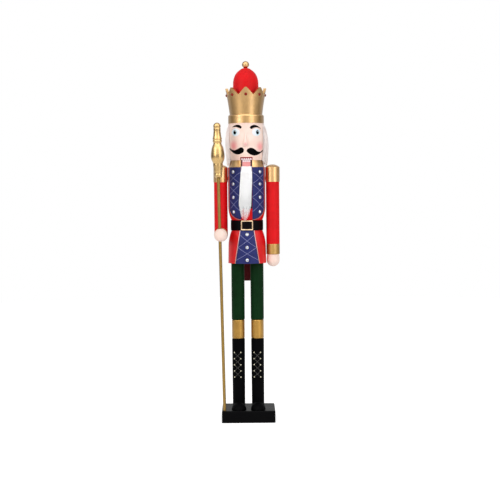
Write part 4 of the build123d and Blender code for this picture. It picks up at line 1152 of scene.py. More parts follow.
@dataclass
class Coat:
    """The coat's two blocks, its lapels and skirt panel with their tapes, cords and stones.

    Attributes:
        cloth: how thick the satin and its glue are on the wood.
        slot_height: from the shoulder down to the foot of the chest's slot.
        slot_half_width: half of the slot's width, past its walls.
        slot_shade_colour: of its walls, black as painted shade for the dark inside of the slot.
        lapel_inner: from the middle to a lapel's inner edge.
        lapel_outer: to its outer edge.
        lapel_corner_width: how far its swept corner reaches in.
        lapel_corner_height: how far up it starts.
        lapel_foot: from the belt up to its foot.
        panel_top_half: half of the skirt panel's width at the belt.
        panel_hem_half: half of it at the hem.
        tape_half_width: half of a tape's width.
        tape_half_height: half of its thickness.
        lapel_cord: the radius of the lapels' cords.
        skirt_cord: the radius of the skirt's.
        stone_radius: a stone's, with its rim.
        stone_column: from the middle to the chest's two columns of stones.
        cross_rise: how far the skirt's tapes end over their crossings.
        cross_fall: how far they end under them.
    """

    cloth: float = 1.5 * MM
    slot_height: float = 171.0 * MM
    slot_half_width: float = 22.2 * MM
    # The slot's walls are painted black, as painted shade for the dark inside of the slot.
    slot_shade_colour: str = "#14060A"
    lapel_inner: float = 23.0 * MM
    lapel_outer: float = 71.0 * MM
    lapel_corner_width: float = 41.0 * MM
    lapel_corner_height: float = 55.0 * MM
    lapel_foot: float = 5.0 * MM
    panel_top_half: float = 27.0 * MM
    panel_hem_half: float = 49.0 * MM
    tape_half_width: float = 0.8 * MM
    tape_half_height: float = 0.4 * MM
    lapel_cord: float = 1.25 * MM
    skirt_cord: float = 1.5 * MM
    stone_radius: float = 6.8 * MM
    stone_column: float = 54.0 * MM
    cross_rise: float = 25.0 * MM
    cross_fall: float = 27.0 * MM

    def __post_init__(self) -> None:
        """Reads the levels and the turned outlines from the frame."""
        self.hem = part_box("coat_skirt")[0].z
        self.belt_bottom, self.belt_top = (corner.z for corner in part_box("belt"))
        self.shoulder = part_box("coat_chest")[1].z
        self.chest = TurnedSurface("coat_chest", self.belt_top, self.shoulder, self.cloth)
        self.skirt = TurnedSurface("coat_skirt", self.hem, self.belt_bottom, self.cloth)

    def build(self) -> list[Piece]:
        """Builds the coat.

        Returns:
            The pieces.
        """
        # Black on the slot's walls is painted shade.
        slot = Recess(self.slot_shade_colour, self.slot_half_width, low=self.shoulder - self.slot_height)
        chest_paint = replace(RED_ENAMEL, name="red_enamel_on_beech_painted_shade_in_slot", recess=slot)
        pieces = dress(chest_paint, "coat_chest") + dress(COAT_ENAMEL, "coat_skirt")
        pieces += dress(NAVY_SATIN, "right_lapel", "left_lapel", "skirt_panel")
        studs = self.stone_levels("chest_stones", 4)
        for side in Side:
            pieces += [self.lapel_lattice(side, studs), self.lapel_piping(side)]
        pieces += [self.skirt_lattice(), self.skirt_piping()]
        pieces += self.stones("chest_stones", 8, self.chest)
        pieces += self.stones("skirt_stones", 3, self.skirt)
        return pieces

    def stone_levels(self, node: str, count: int) -> Array:
        """Finds the rows of stones. The widest gaps between the heights of a node's points part them.

        Args:
            node: the CAD node.
            count: how many rows it has.

        Returns:
            The rows' heights, from the top.
        """
        levels = np.sort(node_points(node)[:, 2])[::-1]
        gaps = np.sort(np.argsort(np.diff(levels))[: count - 1])
        return np.array([row.mean() for row in np.split(levels, gaps + 1)])

    def stone_centres(self, node: str, count: int) -> Array:
        """Finds the stones: the mean of the CAD node's points in each row, and on each side if they are paired.

        Args:
            node: the CAD node.
            count: how many stones it has.

        Returns:
            The middle of each stone, of shape (count, 3).
        """
        points = node_points(node)
        rows = self.stone_levels(node, count if node == "skirt_stones" else count // 2)
        row = np.argmin(np.abs(points[:, 2:] - rows), 1)
        side = (points[:, 0] > 0).astype(int) * (node != "skirt_stones")
        total = np.zeros((len(rows), 2, 4))
        np.add.at(total, (row, side), np.concatenate([points, np.ones((len(points), 1))], 1))
        return (total[..., :3] / np.maximum(total[..., 3:], 1)).reshape(-1, 3)[total[..., 3].ravel() > 0]

    def tapes(self, surface: TurnedSurface, lines: list[Line]) -> list[Loft]:
        """Lays flat tapes on a turned surface, each an oval section carried along a smooth line.

        Args:
            surface: what they lie on.
            lines: (across, up) points in metres for each tape.

        Returns:
            One loft for each tape.
        """
        lofts = []
        for line in lines:
            way = smooth_line(line, 48)
            path, up = surface.place(way[:, 0], way[:, 1], self.tape_half_height * 0.8)
            lofts.append(Loft(swept_rings(path, up, self.tape_half_width, self.tape_half_height)[None]))
        return lofts

    def lapel_lattice(self, side: Side, studs: Array) -> Piece:
        """Makes a lapel's lattice.

        Each two tapes leave the inner edge level with two stones, cross midway between them in the column of
        stones, and run on to the outer edge.

        Args:
            side: which lapel.
            studs: the heights of its stones, from the top.

        Returns:
            The lattice.
        """
        cross, inner, outer = self.stone_column, self.lapel_inner + 0.6 * MM, self.lapel_outer - 0.8 * MM
        lines = []
        for high, low in zip(studs, studs[1:]):
            middle = (high + low) / 2
            run_on = (outer - cross) / (cross - inner) * (high - low) / 2 * 1.15
            for start, way in ((high - 1 * MM, -1), (low + 1.5 * MM, 1)):
                bow = 2.2 * MM * -way
                half_way = ((cross + inner) / 2, (start + middle) / 2 + bow)
                line = ((inner, start), half_way, (cross, middle), (outer, middle + way * run_on))
                lines.append(tuple((side.value * x, z) for x, z in line))
        name = side.name.lower()
        return add_piece(f"{name}_lapel_lattice", self.tapes(self.chest, lines), LATTICE_TAPE)

    def twisted(self, surface: TurnedSurface, way: Array, radius: float) -> list[Loft]:
        """Lays a cord of three strands along a line on a turned surface.

        Each strand's centre circles the cord's own line once in 5.5 radii, at 0.46 of the radius.

        Args:
            surface: what it lies on.
            way: (across, up) points in metres, evenly spaced.
            radius: the cord's radius.

        Returns:
            One loft with the three strands.
        """
        length = np.linalg.norm(np.diff(way, axis=0), axis=1).sum()
        count = int(length / (5.5 * radius) * 12)
        way = smooth_line(way, count)
        path, up = surface.place(way[:, 0], way[:, 1], radius * 0.75)
        across = unit(np.cross(np.gradient(path, axis=0), up))
        phase = np.arange(count) / 12 * math.tau + np.arange(3)[:, None] * math.tau / 3
        offset = across * np.cos(phase)[..., None] + up * np.sin(phase)[..., None]
        strands = path + offset * radius * 0.46
        return [Loft(swept_rings(strands, up, radius * 0.54, radius * 0.54, 6))]

    def lapel_piping(self, side: Side) -> Piece:
        """Makes the cord down a lapel's outer edge, round its swept corner and along its foot.

        The corner is a quarter of an ellipse. The two straight runs leave it along its ends.

        Args:
            side: which lapel.

        Returns:
            The cord.
        """
        foot, gap = self.belt_top + self.lapel_foot, self.lapel_cord * 0.9
        width, height = self.lapel_corner_width + gap, self.lapel_corner_height + gap
        outer = self.lapel_outer + gap
        turn = np.linspace(0, math.pi / 2, 24)
        x, z = outer - width + width * np.cos(turn), foot - gap + height - height * np.sin(turn)
        corner = np.stack([x, z], -1)
        down = np.stack([np.full(30, outer), np.linspace(self.shoulder - 1.5 * MM, corner[0, 1], 31)[:-1]], -1)
        along = np.stack([np.linspace(corner[-1, 0], self.lapel_inner, 5)[1:], np.full(4, foot - gap)], -1)
        way = np.concatenate([down, corner, along]) * (side.value, 1)
        name = side.name.lower()
        cord = self.twisted(self.chest, way, self.lapel_cord)
        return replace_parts(add_piece(f"{name}_lapel_piping", cord, TAN_CORD), f"{name}_lapel_trim")

    def panel_half(self, z: Array | float) -> Array | float:
        """Half of the skirt panel's width at a height, which grows evenly from the belt to the hem."""
        share = (self.belt_bottom - z) / (self.belt_bottom - self.hem)
        return self.panel_top_half + (self.panel_hem_half - self.panel_top_half) * share

    def skirt_piping(self) -> Piece:
        """Makes the two cords along the skirt panel's slanting edges.

        Returns:
            The cords, as one piece.
        """
        z = np.linspace(self.belt_bottom - 0.5 * MM, self.hem + 0.8 * MM, 30)
        x = self.panel_half(z) + self.skirt_cord * 0.8
        lofts = []
        for side in Side:
            lofts += self.twisted(self.skirt, np.stack([side.value * x, z], -1), self.skirt_cord)
        # The cord goes from rose-white at the belt to tan at the hem: painted light near the belt and painted
        # shade towards the hem.
        cord = SpunThread("rose_white_rayon_cord", "#F6DDE0", "#DEC0BC", "#C9A48F", (self.belt_bottom, self.hem))
        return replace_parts(add_piece("skirt_piping", lofts, cord), "skirt_trim")

    def skirt_lattice(self) -> Piece:
        """Makes the panel's two crosses, one in each gap between its three stones.

        Returns:
            The lattice.
        """
        levels = self.stone_levels("skirt_stones", 3)
        lines = []
        for high, low in zip(levels, levels[1:]):
            middle = (high + low) / 2
            for side in Side:
                ends = []
                for z in (middle + self.cross_rise, middle - self.cross_fall):
                    ends.append((self.panel_half(z) - 0.6 * MM, max(z, self.hem + 2 * MM)))
                (top_x, top_z), (low_x, low_z) = ends
                lines.append(((-side.value * top_x, top_z), (0.0, middle), (side.value * low_x, low_z)))
        return add_piece("skirt_lattice", self.tapes(self.skirt, lines), LATTICE_TAPE)

    def stones(self, node: str, count: int, surface: TurnedSurface) -> list[Piece]:
        """Makes faceted stones in thin pearl rims.

        A stone is a stack of twelve-sided rings, each turned half a side past the last, under a flat table. Its
        rim is a ring of round section.

        Args:
            node: the CAD node that they stand for.
            count: how many there are.
            surface: what they sit on.

        Returns:
            The stones and their rims.
        """
        centres = self.stone_centres(node, count)
        feet, normals = surface.place(centres[:, 0], centres[:, 2])
        radius = self.stone_radius
        outline = np.array([(0.80, 0.0), (0.84, 0.12), (0.68, 0.34), (0.44, 0.50)]) * radius
        rings = turned_rings(outline, feet, normals, 12)
        turned = turned_rings(outline, feet, normals, 24)[:, :, 1::2]
        rings[:, 2] = turned[:, 2]
        bend = np.linspace(0, math.tau, 10, endpoint=False)
        rim = np.stack([(0.88 + 0.13 * np.cos(bend)) * radius, (0.10 + 0.13 * np.sin(bend)) * radius], -1)
        hoops = turned_rings(rim, feet, normals, 32)
        stone = add_piece(node.replace("_", "_cut_"), [Loft(rings)], CLEAR_STONE, crease=5)
        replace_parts(stone, node)
        rims = [Loft(hoops, joined=True)]
        return [stone, add_piece(node.replace("_stones", "_stone_rims"), rims, PEARL_STUD)]


@dataclass
class Belt:
    """The vinyl belt with its rounded edges, and the open buckle bent to it.

    Attributes:
        thickness: the belt's.
        edge: the radius of its rounded edges.
        crown: how far its middle stands proud.
        bar: how wide the buckle's bar is.
        buckle_thickness: the bar's.
        buckle_corner: the radius at the middle of the bar round a corner.
    """

    thickness: float = 3.0 * MM
    edge: float = 1.1 * MM
    crown: float = 0.35 * MM
    bar: float = 5.0 * MM
    buckle_thickness: float = 3.4 * MM
    buckle_corner: float = 2.5 * MM

    def build(self) -> list[Piece]:
        """Builds the belt and its buckle.

        Returns:
            The pieces.
        """
        low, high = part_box("belt")
        outer = high.x
        return [self.strap(outer, low.z, high.z), self.buckle(outer, (low.z + high.z) / 2)]

    def strap(self, outer: float, bottom: float, top: float) -> Piece:
        """Makes the strap: a rounded flat section turned about the figure's axis, a little proud in its middle.

        Args:
            outer: the belt's outer radius.
            bottom: its lowest height.
            top: its highest.

        Returns:
            The strap.
        """
        inner = outer - self.thickness
        bend = np.linspace(0, math.pi / 2, 6)
        bulge = np.linspace(0, 1, 12)[1:-1]
        face_z = top - self.edge - (top - bottom - 2 * self.edge) * bulge
        upper = np.stack([outer - self.edge * (1 - np.sin(bend)), top - self.edge * (1 - np.cos(bend))], -1)
        face = np.stack([outer + self.crown * np.sin(math.pi * bulge), face_z], -1)
        lower = np.stack([upper[::-1, 0], bottom + top - upper[::-1, 1]], -1)
        outline = np.concatenate([upper, face, lower, [[inner, bottom], [inner, top]]])
        rings = turned_rings(outline, np.zeros((1, 3)), np.array([[0.0, 0.0, 1.0]]), 144)
        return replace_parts(add_piece("belt_strap", [Loft(rings, joined=True)], BELT_VINYL), "belt")

    def buckle(self, radius: float, middle: float) -> Piece:
        """Makes the buckle.

        Its bar's oval section follows a rounded rectangle, which is wrapped on the belt: across becomes an angle
        of the arcsine of x over the belt's radius.

        Args:
            radius: the belt's outer radius.
            middle: the belt's middle height.

        Returns:
            The buckle.
        """
        low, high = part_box("belt_buckle")
        half_x, half_z = ((high.x - low.x) - self.bar) / 2, ((high.z - low.z) - self.bar) / 2
        corner = self.buckle_corner
        quarter = np.linspace(0, math.pi / 2, 7)
        arc = np.stack([np.cos(quarter), np.sin(quarter)], -1) * corner
        turns = [(1, 1, 1), (-1, 1, -1), (-1, -1, 1), (1, -1, -1)]
        corners = [
            (arc[::way] * (sx, sz)) + (sx * (half_x - corner), sz * (half_z - corner)) for sx, sz, way in turns
        ]
        loop = np.concatenate(corners)
        fine = np.linspace(0, len(loop), len(loop) * 4, endpoint=False)
        wrapped = np.concatenate([loop, loop[:1]])
        x, z = (np.interp(fine, np.arange(len(wrapped)), wrapped[:, i]) for i in (0, 1))
        stand = radius + self.buckle_thickness / 2
        path = np.stack([x, -np.sqrt(stand**2 - x**2), middle + z], -1)
        up = unit(path * (1, 1, 0))
        rings = swept_rings(path, up, self.bar / 2, self.buckle_thickness / 2, 12, closed=True)
        piece = add_piece("buckle_frame", [Loft(rings[None], joined=True)], PALE_GOLD_PLATE)
        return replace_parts(piece, "belt_buckle")


@dataclass
class Face:
    """The painted head: eyes, brows, moustache, nose and teeth.

    Places are in millimetres: across from the middle, towards +X, and up from the chin.

    Attributes:
        eyes: the middles of the whites.
        irises: the middles of the irises and pupils. The glints are set off from them.
        left_brow: the upper and the lower line of the stroke, as of each stroke below.
        nose_x: the nose's middle.
        nose_outline: height, half of the nose's width and its reach forward, from the top.
        blush: the spots sprayed on the cheeks, in blush_colour.
        chin_shade: tan spots beside the chin, painted shade low on the face, in chin_shade_colour.
        nose_colour: of the spot sprayed on the nose's tip.
        mouth_red_with_painted_light: of the walls behind the teeth and the rim round them, a dark red paint made
            lighter as painted light for the shade in the mouth.
        mouth_half: half of the mouth's width.
        mouth_top: its height.
        upper_pitch: from one upper tooth to the next.
        upper_half: half of an upper tooth's width.
        upper_levels: heights of the rings of an upper tooth, above the row's foot.
        upper_shares: each ring's share of the full width.
        lower_pitch: from one lower tooth to the next.
        lower_half: half of a lower tooth's width.
        lower_levels: heights of the rings of a lower tooth, as shares of its height.
        lower_shares: each ring's share of the full width.
    """

    eyes: Line = ((-43.5, 115.0), (41.5, 115.0))
    irises: Line = ((-46.4, 114.6), (46.7, 114.6))
    left_brow: tuple[Line, Line] = (
        ((61, 130.2), (53, 137.4), (45, 142.4), (37, 144.9), (26, 143.0), (18, 138.6), (15.3, 135.4)),
        ((60.7, 129.6), (52, 133.4), (42, 134.7), (30, 131.9), (20.5, 128.0), (16, 131.0)),
    )
    right_brow: tuple[Line, Line] = (
        ((-58, 136.8), (-50, 142.6), (-40.4, 145.7), (-29.3, 145.2), (-21.5, 141.2), (-18.3, 137)),
        ((-57.8, 136.2), (-50.5, 137.0), (-42, 136.9), (-31, 133.1), (-22.3, 130.2), (-18.8, 133.0)),
    )
    left_whisker: tuple[Line, Line] = (
        (
            (72.9, 53), (67.5, 42.6), (58, 35.2), (47, 35.8), (35.6, 44.2), (24, 50), (13, 49.6), (4, 44),
            (0.9, 37.5),
        ),
        ((72.7, 50.5), (66, 36.6), (56, 27.0), (44.5, 20.8), (34, 18.6), (21.4, 21), (8.8, 28.1), (1.7, 35.5)),
    )
    right_whisker: tuple[Line, Line] = (
        (
            (-70.5, 55), (-66, 49.5), (-61, 45.5), (-50, 41.6), (-34, 47.1), (-24, 52), (-17, 51.8), (-11, 46),
            (-9.4, 40),
        ),
        (
            (-70.2, 54.4), (-66.5, 45), (-57.8, 34), (-45.1, 25.7), (-32.5, 23.7), (-19.8, 27.3), (-12, 33.5),
            (-9.8, 38),
        ),
    )
    right_lid: tuple[Line, Line] = (
        ((-62, 126), (-46, 131.2), (-28, 127.2)), ((-61.8, 125.4), (-46, 130.2), (-28.2, 126.6)),
    )
    left_lid: tuple[Line, Line] = (
        ((20, 127.4), (38, 131.2), (60, 126.6)), ((20.2, 126.8), (38, 130.2), (59.8, 126)),
    )
    nose_x: float = -3.0
    nose_outline: tuple[tuple[float, float, float], ...] = (
        (118, 3.4, 0.6), (109, 4.2, 3.0), (94, 5.8, 7.0), (79, 8.2, 11.6), (69.5, 10.2, 15.0),
        (63.5, 10.8, 15.8), (58.5, 9.6, 13.2), (55.5, 7.2, 8.6), (54, 4.2, 3.0),
    )
    blush: tuple[Spot, ...] = ((-53, 60, 31, 0.72), (58, 56, 30, 0.68), (-53, 56, 15, 0.2), (58, 52, 15, 0.18))
    blush_colour: str = "#FF8F95"
    # Tan spots beside the chin are painted shade, low on the face above the collar.
    chin_shade: tuple[Spot, ...] = ((-35, 8, 40, 0.25), (35, 8, 40, 0.25))
    chin_shade_colour: str = "#EBA88C"
    nose_colour: str = "#EFA3A6"
    # The mouth's walls and rim are dark red paint made lighter, as painted light for the shade in the mouth.
    mouth_red_with_painted_light: str = "#B84A4E"
    mouth_half: float = 25.3
    mouth_top: float = 12.7
    upper_pitch: float = 9.0
    upper_half: float = 4.35
    upper_levels: tuple[float, ...] = (0.6, 1.0, 2.0, 3.7, 5.6, 7.3, 8.6)
    upper_shares: tuple[float, ...] = (0.8, 0.97, 1.0, 0.98, 0.8, 0.5, 0.25)
    lower_pitch: float = 8.1
    lower_half: float = 3.9
    lower_levels: tuple[float, ...] = (0.0, 0.15, 0.5, 0.8, 0.95, 1.0)
    lower_shares: tuple[float, ...] = (0.92, 1.0, 1.0, 0.98, 0.85, 0.6)

    def __post_init__(self) -> None:
        """Reads the head's outline and the chin's height from the frame."""
        self.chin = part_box("head")[0].z
        self.head = TurnedSurface("head")

    def build(self) -> list[Piece]:
        """Builds the head.

        Returns:
            The pieces.
        """
        sprayed = []
        for colour, spots in ((self.blush_colour, self.blush), (self.chin_shade_colour, self.chin_shade)):
            for x, z, radius, strength in spots:
                centre = self.head.place(x * MM, self.chin + z * MM)[0]
                sprayed.append(Airbrush(colour, tuple(centre.tolist()), radius * MM, strength))
        mouth = Recess(self.mouth_red_with_painted_light, self.mouth_half * MM, high=self.chin + self.mouth_top * MM)
        skin = replace(SKIN_ENAMEL, name="skin_enamel_with_sprayed_blush", recess=mouth, sprayed=tuple(sprayed))
        pieces = dress(skin, "head")
        pieces += self.eye_dabs()
        strokes = {
            "brows": (BLACK_BRUSHWORK, 0.5 * MM, (self.left_brow, self.right_brow)),
            "moustache": (BLACK_BRUSHWORK, 2.0 * MM, (self.left_whisker, self.right_whisker)),
            "eyelids": (LID_BRUSHWORK, 0.12 * MM, (self.left_lid, self.right_lid)),
        }
        for name, (finish, rise, lines) in strokes.items():
            lofts = [Loft(film_rings(self.head, upper, lower, (0, self.chin), rise)) for upper, lower in lines]
            pieces.append(add_piece(name, lofts, finish))
        return pieces + [self.nose(), *self.teeth()]

    def eye_dabs(self) -> list[Piece]:
        """Makes the eyes, each a white, a blue iris, a black pupil and a glint, one dab on the next.

        Returns:
            One piece for each of the four colours.
        """
        layers = (  # name, middles, half sizes, base, rise, finish, slot and shift
            ("eye_whites", self.eyes, (17.0, 16.5), 0.15, 0.35, WHITE_BRUSHWORK, "teeth_white", (0, 0)),
            ("irises", self.irises, (9.2, 13.2), 0.35, 0.3, BLUE_BRUSHWORK, "teeth_white", (0, 0)),
            ("pupils", self.irises, (5.8, 8.4), 0.6, 0.3, BLACK_BRUSHWORK, "boot_black", (0, 0)),
            ("glints", self.irises, (1.5, 1.9), 0.85, 0.25, WHITE_BRUSHWORK, "teeth_white", (2.0, 3.6)),
        )
        pieces = []
        for name, centres, half, base, rise, finish, slot, shift in layers:
            lofts = []
            for x, z in centres:
                centre = ((x + shift[0]) * MM, self.chin + (z + shift[1]) * MM)
                size = (half[0] * MM, half[1] * MM)
                lofts.append(Loft(lens_rings(self.head, centre, size, base * MM, rise * MM)))
            pieces.append(add_piece(name, lofts, finish))
        return pieces

    def nose(self) -> Piece:
        """Makes the nose.

        Level rings run from the brow's foot to under the tip. Each is half_width * cosine across, and forward of
        the face by reach * sine to the power 0.85, with its back inside the head.

        Returns:
            The nose.
        """
        outline = smooth_line(self.nose_outline, 40) * MM
        angle = np.linspace(0, math.tau, 32, endpoint=False)
        z, half, reach = (column[:, None] for column in outline.T)
        forward = np.where(np.sin(angle) > 0, np.abs(np.sin(angle)) ** 0.85 * reach, 6 * MM * np.sin(angle))
        x = self.nose_x * MM + half * np.cos(angle)
        y = -(self.head.radius(self.chin + z) - 0.8 * MM) - forward
        rings = np.stack([x, y, np.broadcast_to(self.chin + z, x.shape)], -1)[None]
        tip = (self.nose_x * MM, -self.head.radius(self.chin + 63.5 * MM) - 15 * MM, self.chin + 64.5 * MM)
        pink = Airbrush(self.nose_colour, tip, 13 * MM, 0.6)
        paint = replace(SKIN_ENAMEL, name="skin_enamel_on_carved_nose", sprayed=(pink,))
        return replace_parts(add_piece("carved_nose", [Loft(rings)], paint), "nose")

    def tooth_rings(self, x: Array, y: Array, half: float, depth: float, levels: Array, shares: Array) -> Array:
        """Stands teeth in a row.

        A tooth is a stack of rounded rectangles: across is the sign times the root of |cosine|, times half and
        the level's share, and deep likewise with the sine.

        Args:
            x: the teeth's middles.
            y: their middles from front to back.
            half: half of a tooth's width.
            depth: half of its depth.
            levels: heights.
            shares: each level's share of the full width.

        Returns:
            Rings of shape (teeth, levels, points, 3).
        """
        angle = np.linspace(0, math.tau, 20, endpoint=False)
        wide = np.sign(np.cos(angle)) * np.sqrt(np.abs(np.cos(angle))) * half
        deep = np.sign(np.sin(angle)) * np.sqrt(np.abs(np.sin(angle))) * depth
        across = x[:, None, None] + wide * shares[:, None]
        along = y[:, None, None] + deep * np.minimum(1, shares[:, None] + 0.25)
        return np.stack([across, along, np.broadcast_to(levels[:, None], across.shape)], -1)

    def teeth(self) -> list[Piece]:
        """Makes the gum with its five upper teeth, and the jaw's four lower teeth.

        Returns:
            The gum, the upper teeth, the lower teeth, and the jaw with its lever.
        """
        low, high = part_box("upper_teeth")
        front = self.head.radius(self.chin) - 1.2 * MM
        x = (np.arange(5) - 2) * self.upper_pitch * MM
        y = -np.sqrt(front**2 - x**2) + 2.0 * MM
        levels, shares = low.z + np.array(self.upper_levels) * MM, np.array(self.upper_shares)
        rings = self.tooth_rings(x, y, self.upper_half * MM, 1.8 * MM, levels, shares)
        upper = add_piece("upper_teeth_row", [Loft(rings)], TOOTH_ENAMEL)
        across = np.linspace(-23.4, 23.4, 25) * MM
        back = -np.sqrt(front**2 - across**2) + 4.4 * MM
        path = np.stack([across, back, np.full_like(across, (low.z + high.z) / 2)], -1)
        half_high = (high.z - low.z) / 2 - 0.1 * MM
        gum_rings = swept_rings(path, np.array([0.0, 0.0, 1.0]), 1.6 * MM, half_high, 16)
        gum = add_piece("upper_gum", [Loft(gum_rings[None])], GUM_ENAMEL_WITH_PAINTED_LIGHT)
        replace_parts(upper, "upper_teeth")
        low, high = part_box("lower_teeth")
        x = (np.arange(4) - 1.5) * self.lower_pitch * MM
        y = np.full_like(x, (low.y + high.y) / 2)
        levels, shares = low.z + np.array(self.lower_levels) * (high.z - low.z), np.array(self.lower_shares)
        rings = self.tooth_rings(x, y, self.lower_half * MM, 2.0 * MM, levels, shares)
        lower = add_piece("lower_teeth_row", [Loft(rings)], TOOTH_ENAMEL, "jaw")
        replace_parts(lower, "lower_teeth")
        return [upper, gum, lower, *dress(JAW_ENAMEL, "jaw_block"), *dress(LEVER_DARK_RED, "jaw_lever")]


@dataclass(frozen=True)
class Fur:
    """Strands of long pile, worked out all at once.

    Attributes:
        half_width: half of a strand's width at its thickest.
        levels: how many rings a strand has.
    """

    half_width: float = 0.5 * MM
    levels: int = 9

    def strands(self, path: Array, up: Array) -> Loft:
        """Thickens paths into three-sided strands, thin at the root, full at a fifth and fine at the tip.

        Args:
            path: points of shape (strands, levels, 3).
            up: the direction away from what the strand lies on, of the same shape.

        Returns:
            The loft, with the strand's number along u and its length along v.
        """
        t = np.linspace(0, 1, self.levels)
        width = self.half_width * np.minimum(1, 0.45 + 3 * t) * (1 - t**2.2) + 0.05 * MM
        rings = swept_rings(path, up, width, width * 0.7, 3)
        count = len(path)
        u = (np.arange(count) + 0.5)[:, None, None] / count + np.linspace(-0.3, 0.3, 3) / count
        places = np.stack(np.broadcast_arrays(u, t[:, None]), -1)
        return Loft(rings, map=places)


@dataclass
class Hair:
    """The fur round the sides and back of the head: a padded core under strands that hang in locks.

    Lengths are in millimetres, and angles in degrees from the front.

    Attributes:
        strands: how many there are.
        panels: how many pieces they are made in.
        locks: how many locks hang side by side.
        from_front: the angle of the fur's two front edges.
        drops: depths below the top, at which the next two are given.
        right_reach: how far the fur stands off its backing on the figure's right.
        left_reach: the same on its left.
        longest: how far down the longest strands come.
        core_foot: how far down the padded core comes.
        tier: how far down each further row of locks starts.
        fur: the strands' shape.
    """

    strands: int = 7200
    panels: int = 3
    locks: int = 78
    from_front: float = 70.0
    drops: tuple[float, ...] = (0, 12, 31, 60, 91, 122, 155, 178)
    right_reach: tuple[float, ...] = (2.5, 4.5, 8.5, 11.5, 12.2, 10.2, 8.0, 5.5)
    left_reach: tuple[float, ...] = (2.5, 7.0, 12.5, 17.0, 19.2, 17.4, 14.4, 11.4)
    longest: float = 175.0
    core_foot: float = 158.0
    tier: float = 43.0
    fur: Fur = Fur()

    def __post_init__(self) -> None:
        """Reads the hair's place from the frame."""
        self.top, self.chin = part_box("hair")[1].z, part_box("head")[0].z
        self.head, self.collar = TurnedSurface("head"), TurnedSurface("collar")
        self.first, self.last = math.radians(self.from_front), math.radians(360 - self.from_front)

    def root(self, turn: Array, z: Array) -> Array:
        """How far the fur's cloth backing stands from the head's axis.

        Args:
            turn: angles from the front, towards +X, in radians.
            z: heights.

        Returns:
            The head's greatest radius. Towards both front edges it falls, over 20 degrees, to the head's own
            radius, and under the chin to the collar's.
        """
        under = np.where(z > self.chin, self.head.radius(z), self.collar.radius(z))
        free = ease(np.minimum(turn - self.first, self.last - turn) / math.radians(20))
        return under + (self.head.reach.max() - under) * free + 0.3 * MM

    def outside(self, turn: Array, z: Array) -> Array:
        """How far the fur stands from the head's axis.

        Args:
            turn: angles from the front, towards +X, in radians.
            z: heights.

        Returns:
            The root's radius plus a reach between the right side's and the left side's, by (1 + sine) / 2. It
            falls to 0.3 of that at both front edges, where the fur lies down on the cheeks.
        """
        drop = (self.top - z) / MM
        right, left = (np.interp(drop, self.drops, reach) for reach in (self.right_reach, self.left_reach))
        held = 0.3 + 0.7 * ease(np.minimum(turn - self.first, self.last - turn) / math.radians(9))
        return self.root(turn, z) + (right + (left - right) * (1 + np.sin(turn)) / 2) * held * MM

    def build(self) -> list[Piece]:
        """Builds the hair.

        Returns:
            The core and the panels of strands.
        """
        core = self.core()
        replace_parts(core, "hair")
        draw = np.random.default_rng(SEED)
        edges = np.radians(np.linspace(self.from_front, 360 - self.from_front, self.panels + 1))
        names = ("left", "back", "right")
        panels = zip(names, edges, edges[1:])
        return [core] + [self.panel(f"hair_{name}", start, end, draw) for name, start, end in panels]

    def core(self) -> Piece:
        """Makes the padded core.

        Upright slices follow each other from one front edge to the other. Each goes down its outside, 3.2 mm
        under the fur's with soft lumps of 1 mm, and up its root. It thins at its foot and towards both edges.

        Returns:
            The core.
        """
        turn = np.radians(np.linspace(self.from_front + 2, 358 - self.from_front, 90))[:, None]
        side = np.linspace(0.5, self.core_foot, 24)
        drop = np.concatenate([side, side[::-1]])
        z = self.top - drop * MM
        outer = np.arange(len(drop)) < len(side)
        lumps = 1.0 * MM * np.sin(turn * 23 + drop * 0.02) * np.sin(drop * 0.05 + turn * 5)
        fade = ease(np.minimum(turn - turn[0], turn[-1] - turn) / math.radians(7))
        root = self.root(turn, z)
        thickness = np.maximum(self.outside(turn, z) - root - 3.2 * MM + lumps, 0.6 * MM) * (0.25 + 0.75 * fade)
        foot = ease((self.core_foot - drop) / 14) * 0.8 + 0.2
        radius = np.where(outer, root + thickness * foot, root)
        points = np.broadcast_arrays(radius * np.sin(turn), -radius * np.cos(turn), z)
        rings = np.stack(points, -1)[None]
        places = np.stack(np.broadcast_arrays(turn / math.tau, np.where(outer, 0.2, 0.0)), -1)[None]
        return add_piece("hair_core", [Loft(rings, map=places)], HAIR_FUR)

    def panel(self, name: str, start: float, end: float, draw: np.random.Generator) -> Piece:
        """Makes one panel of strands.

        A strand starts just inside the fur's outside and comes out to it within a third of its length. Its angle
        drifts to the middle of its lock as it falls, and waves a little. Its tip flares by its own amount.

        Args:
            name: the piece's name.
            start: the panel's first angle from the front, in radians.
            end: its last.
            draw: the random numbers.

        Returns:
            The panel.
        """
        count = self.strands // self.panels
        t = np.linspace(0, 1, self.fur.levels)
        turn = draw.uniform(start, end, (count, 1))
        first = draw.uniform(0, 1, (count, 1)) ** 1.5 * 128
        length = draw.uniform(58, 125, (count, 1))
        last = np.minimum(first + length, self.longest + draw.uniform(-9, 3, (count, 1)))
        depth = draw.uniform(0, 1, (count, 1))
        flare = draw.normal(0.3, 1.0, (count, 1))
        phase = draw.uniform(0, math.tau, (count, 1))
        span = math.radians(360 - 2 * self.from_front) / self.locks
        tier = np.floor(first / self.tier)
        lock = np.floor(turn / span + 0.37 * tier)  # each tier's locks are set off from the last's
        middle = (lock + 0.5 - 0.37 * tier) * span
        swing = np.sin(lock * 12.9898 + tier * 4.1) * 0.45 * span
        heave = np.sin(lock * 7.23 + tier * 2.7)
        z = self.top - (first + (last - first) * t) * MM
        wave = 0.006 * np.sin(math.tau * (t * 1.3) + phase)
        angle = turn + (middle - turn) * 0.6 * ease(t) + swing * t**2 + wave
        out = ease(t / 0.33)
        stand = -3.4 * (1 - out) + (-2.2 * depth + 0.9 * heave) * out + (flare + 0.3) * t**2.5
        radius = np.maximum(self.outside(angle, z) + stand * MM, self.root(angle, z) + 0.4 * MM)
        path = np.stack([radius * np.sin(angle), -radius * np.cos(angle), z], -1)
        up = unit(path * (1, 1, 0))
        return add_piece(name, [self.fur.strands(path, up)], HAIR_FUR)


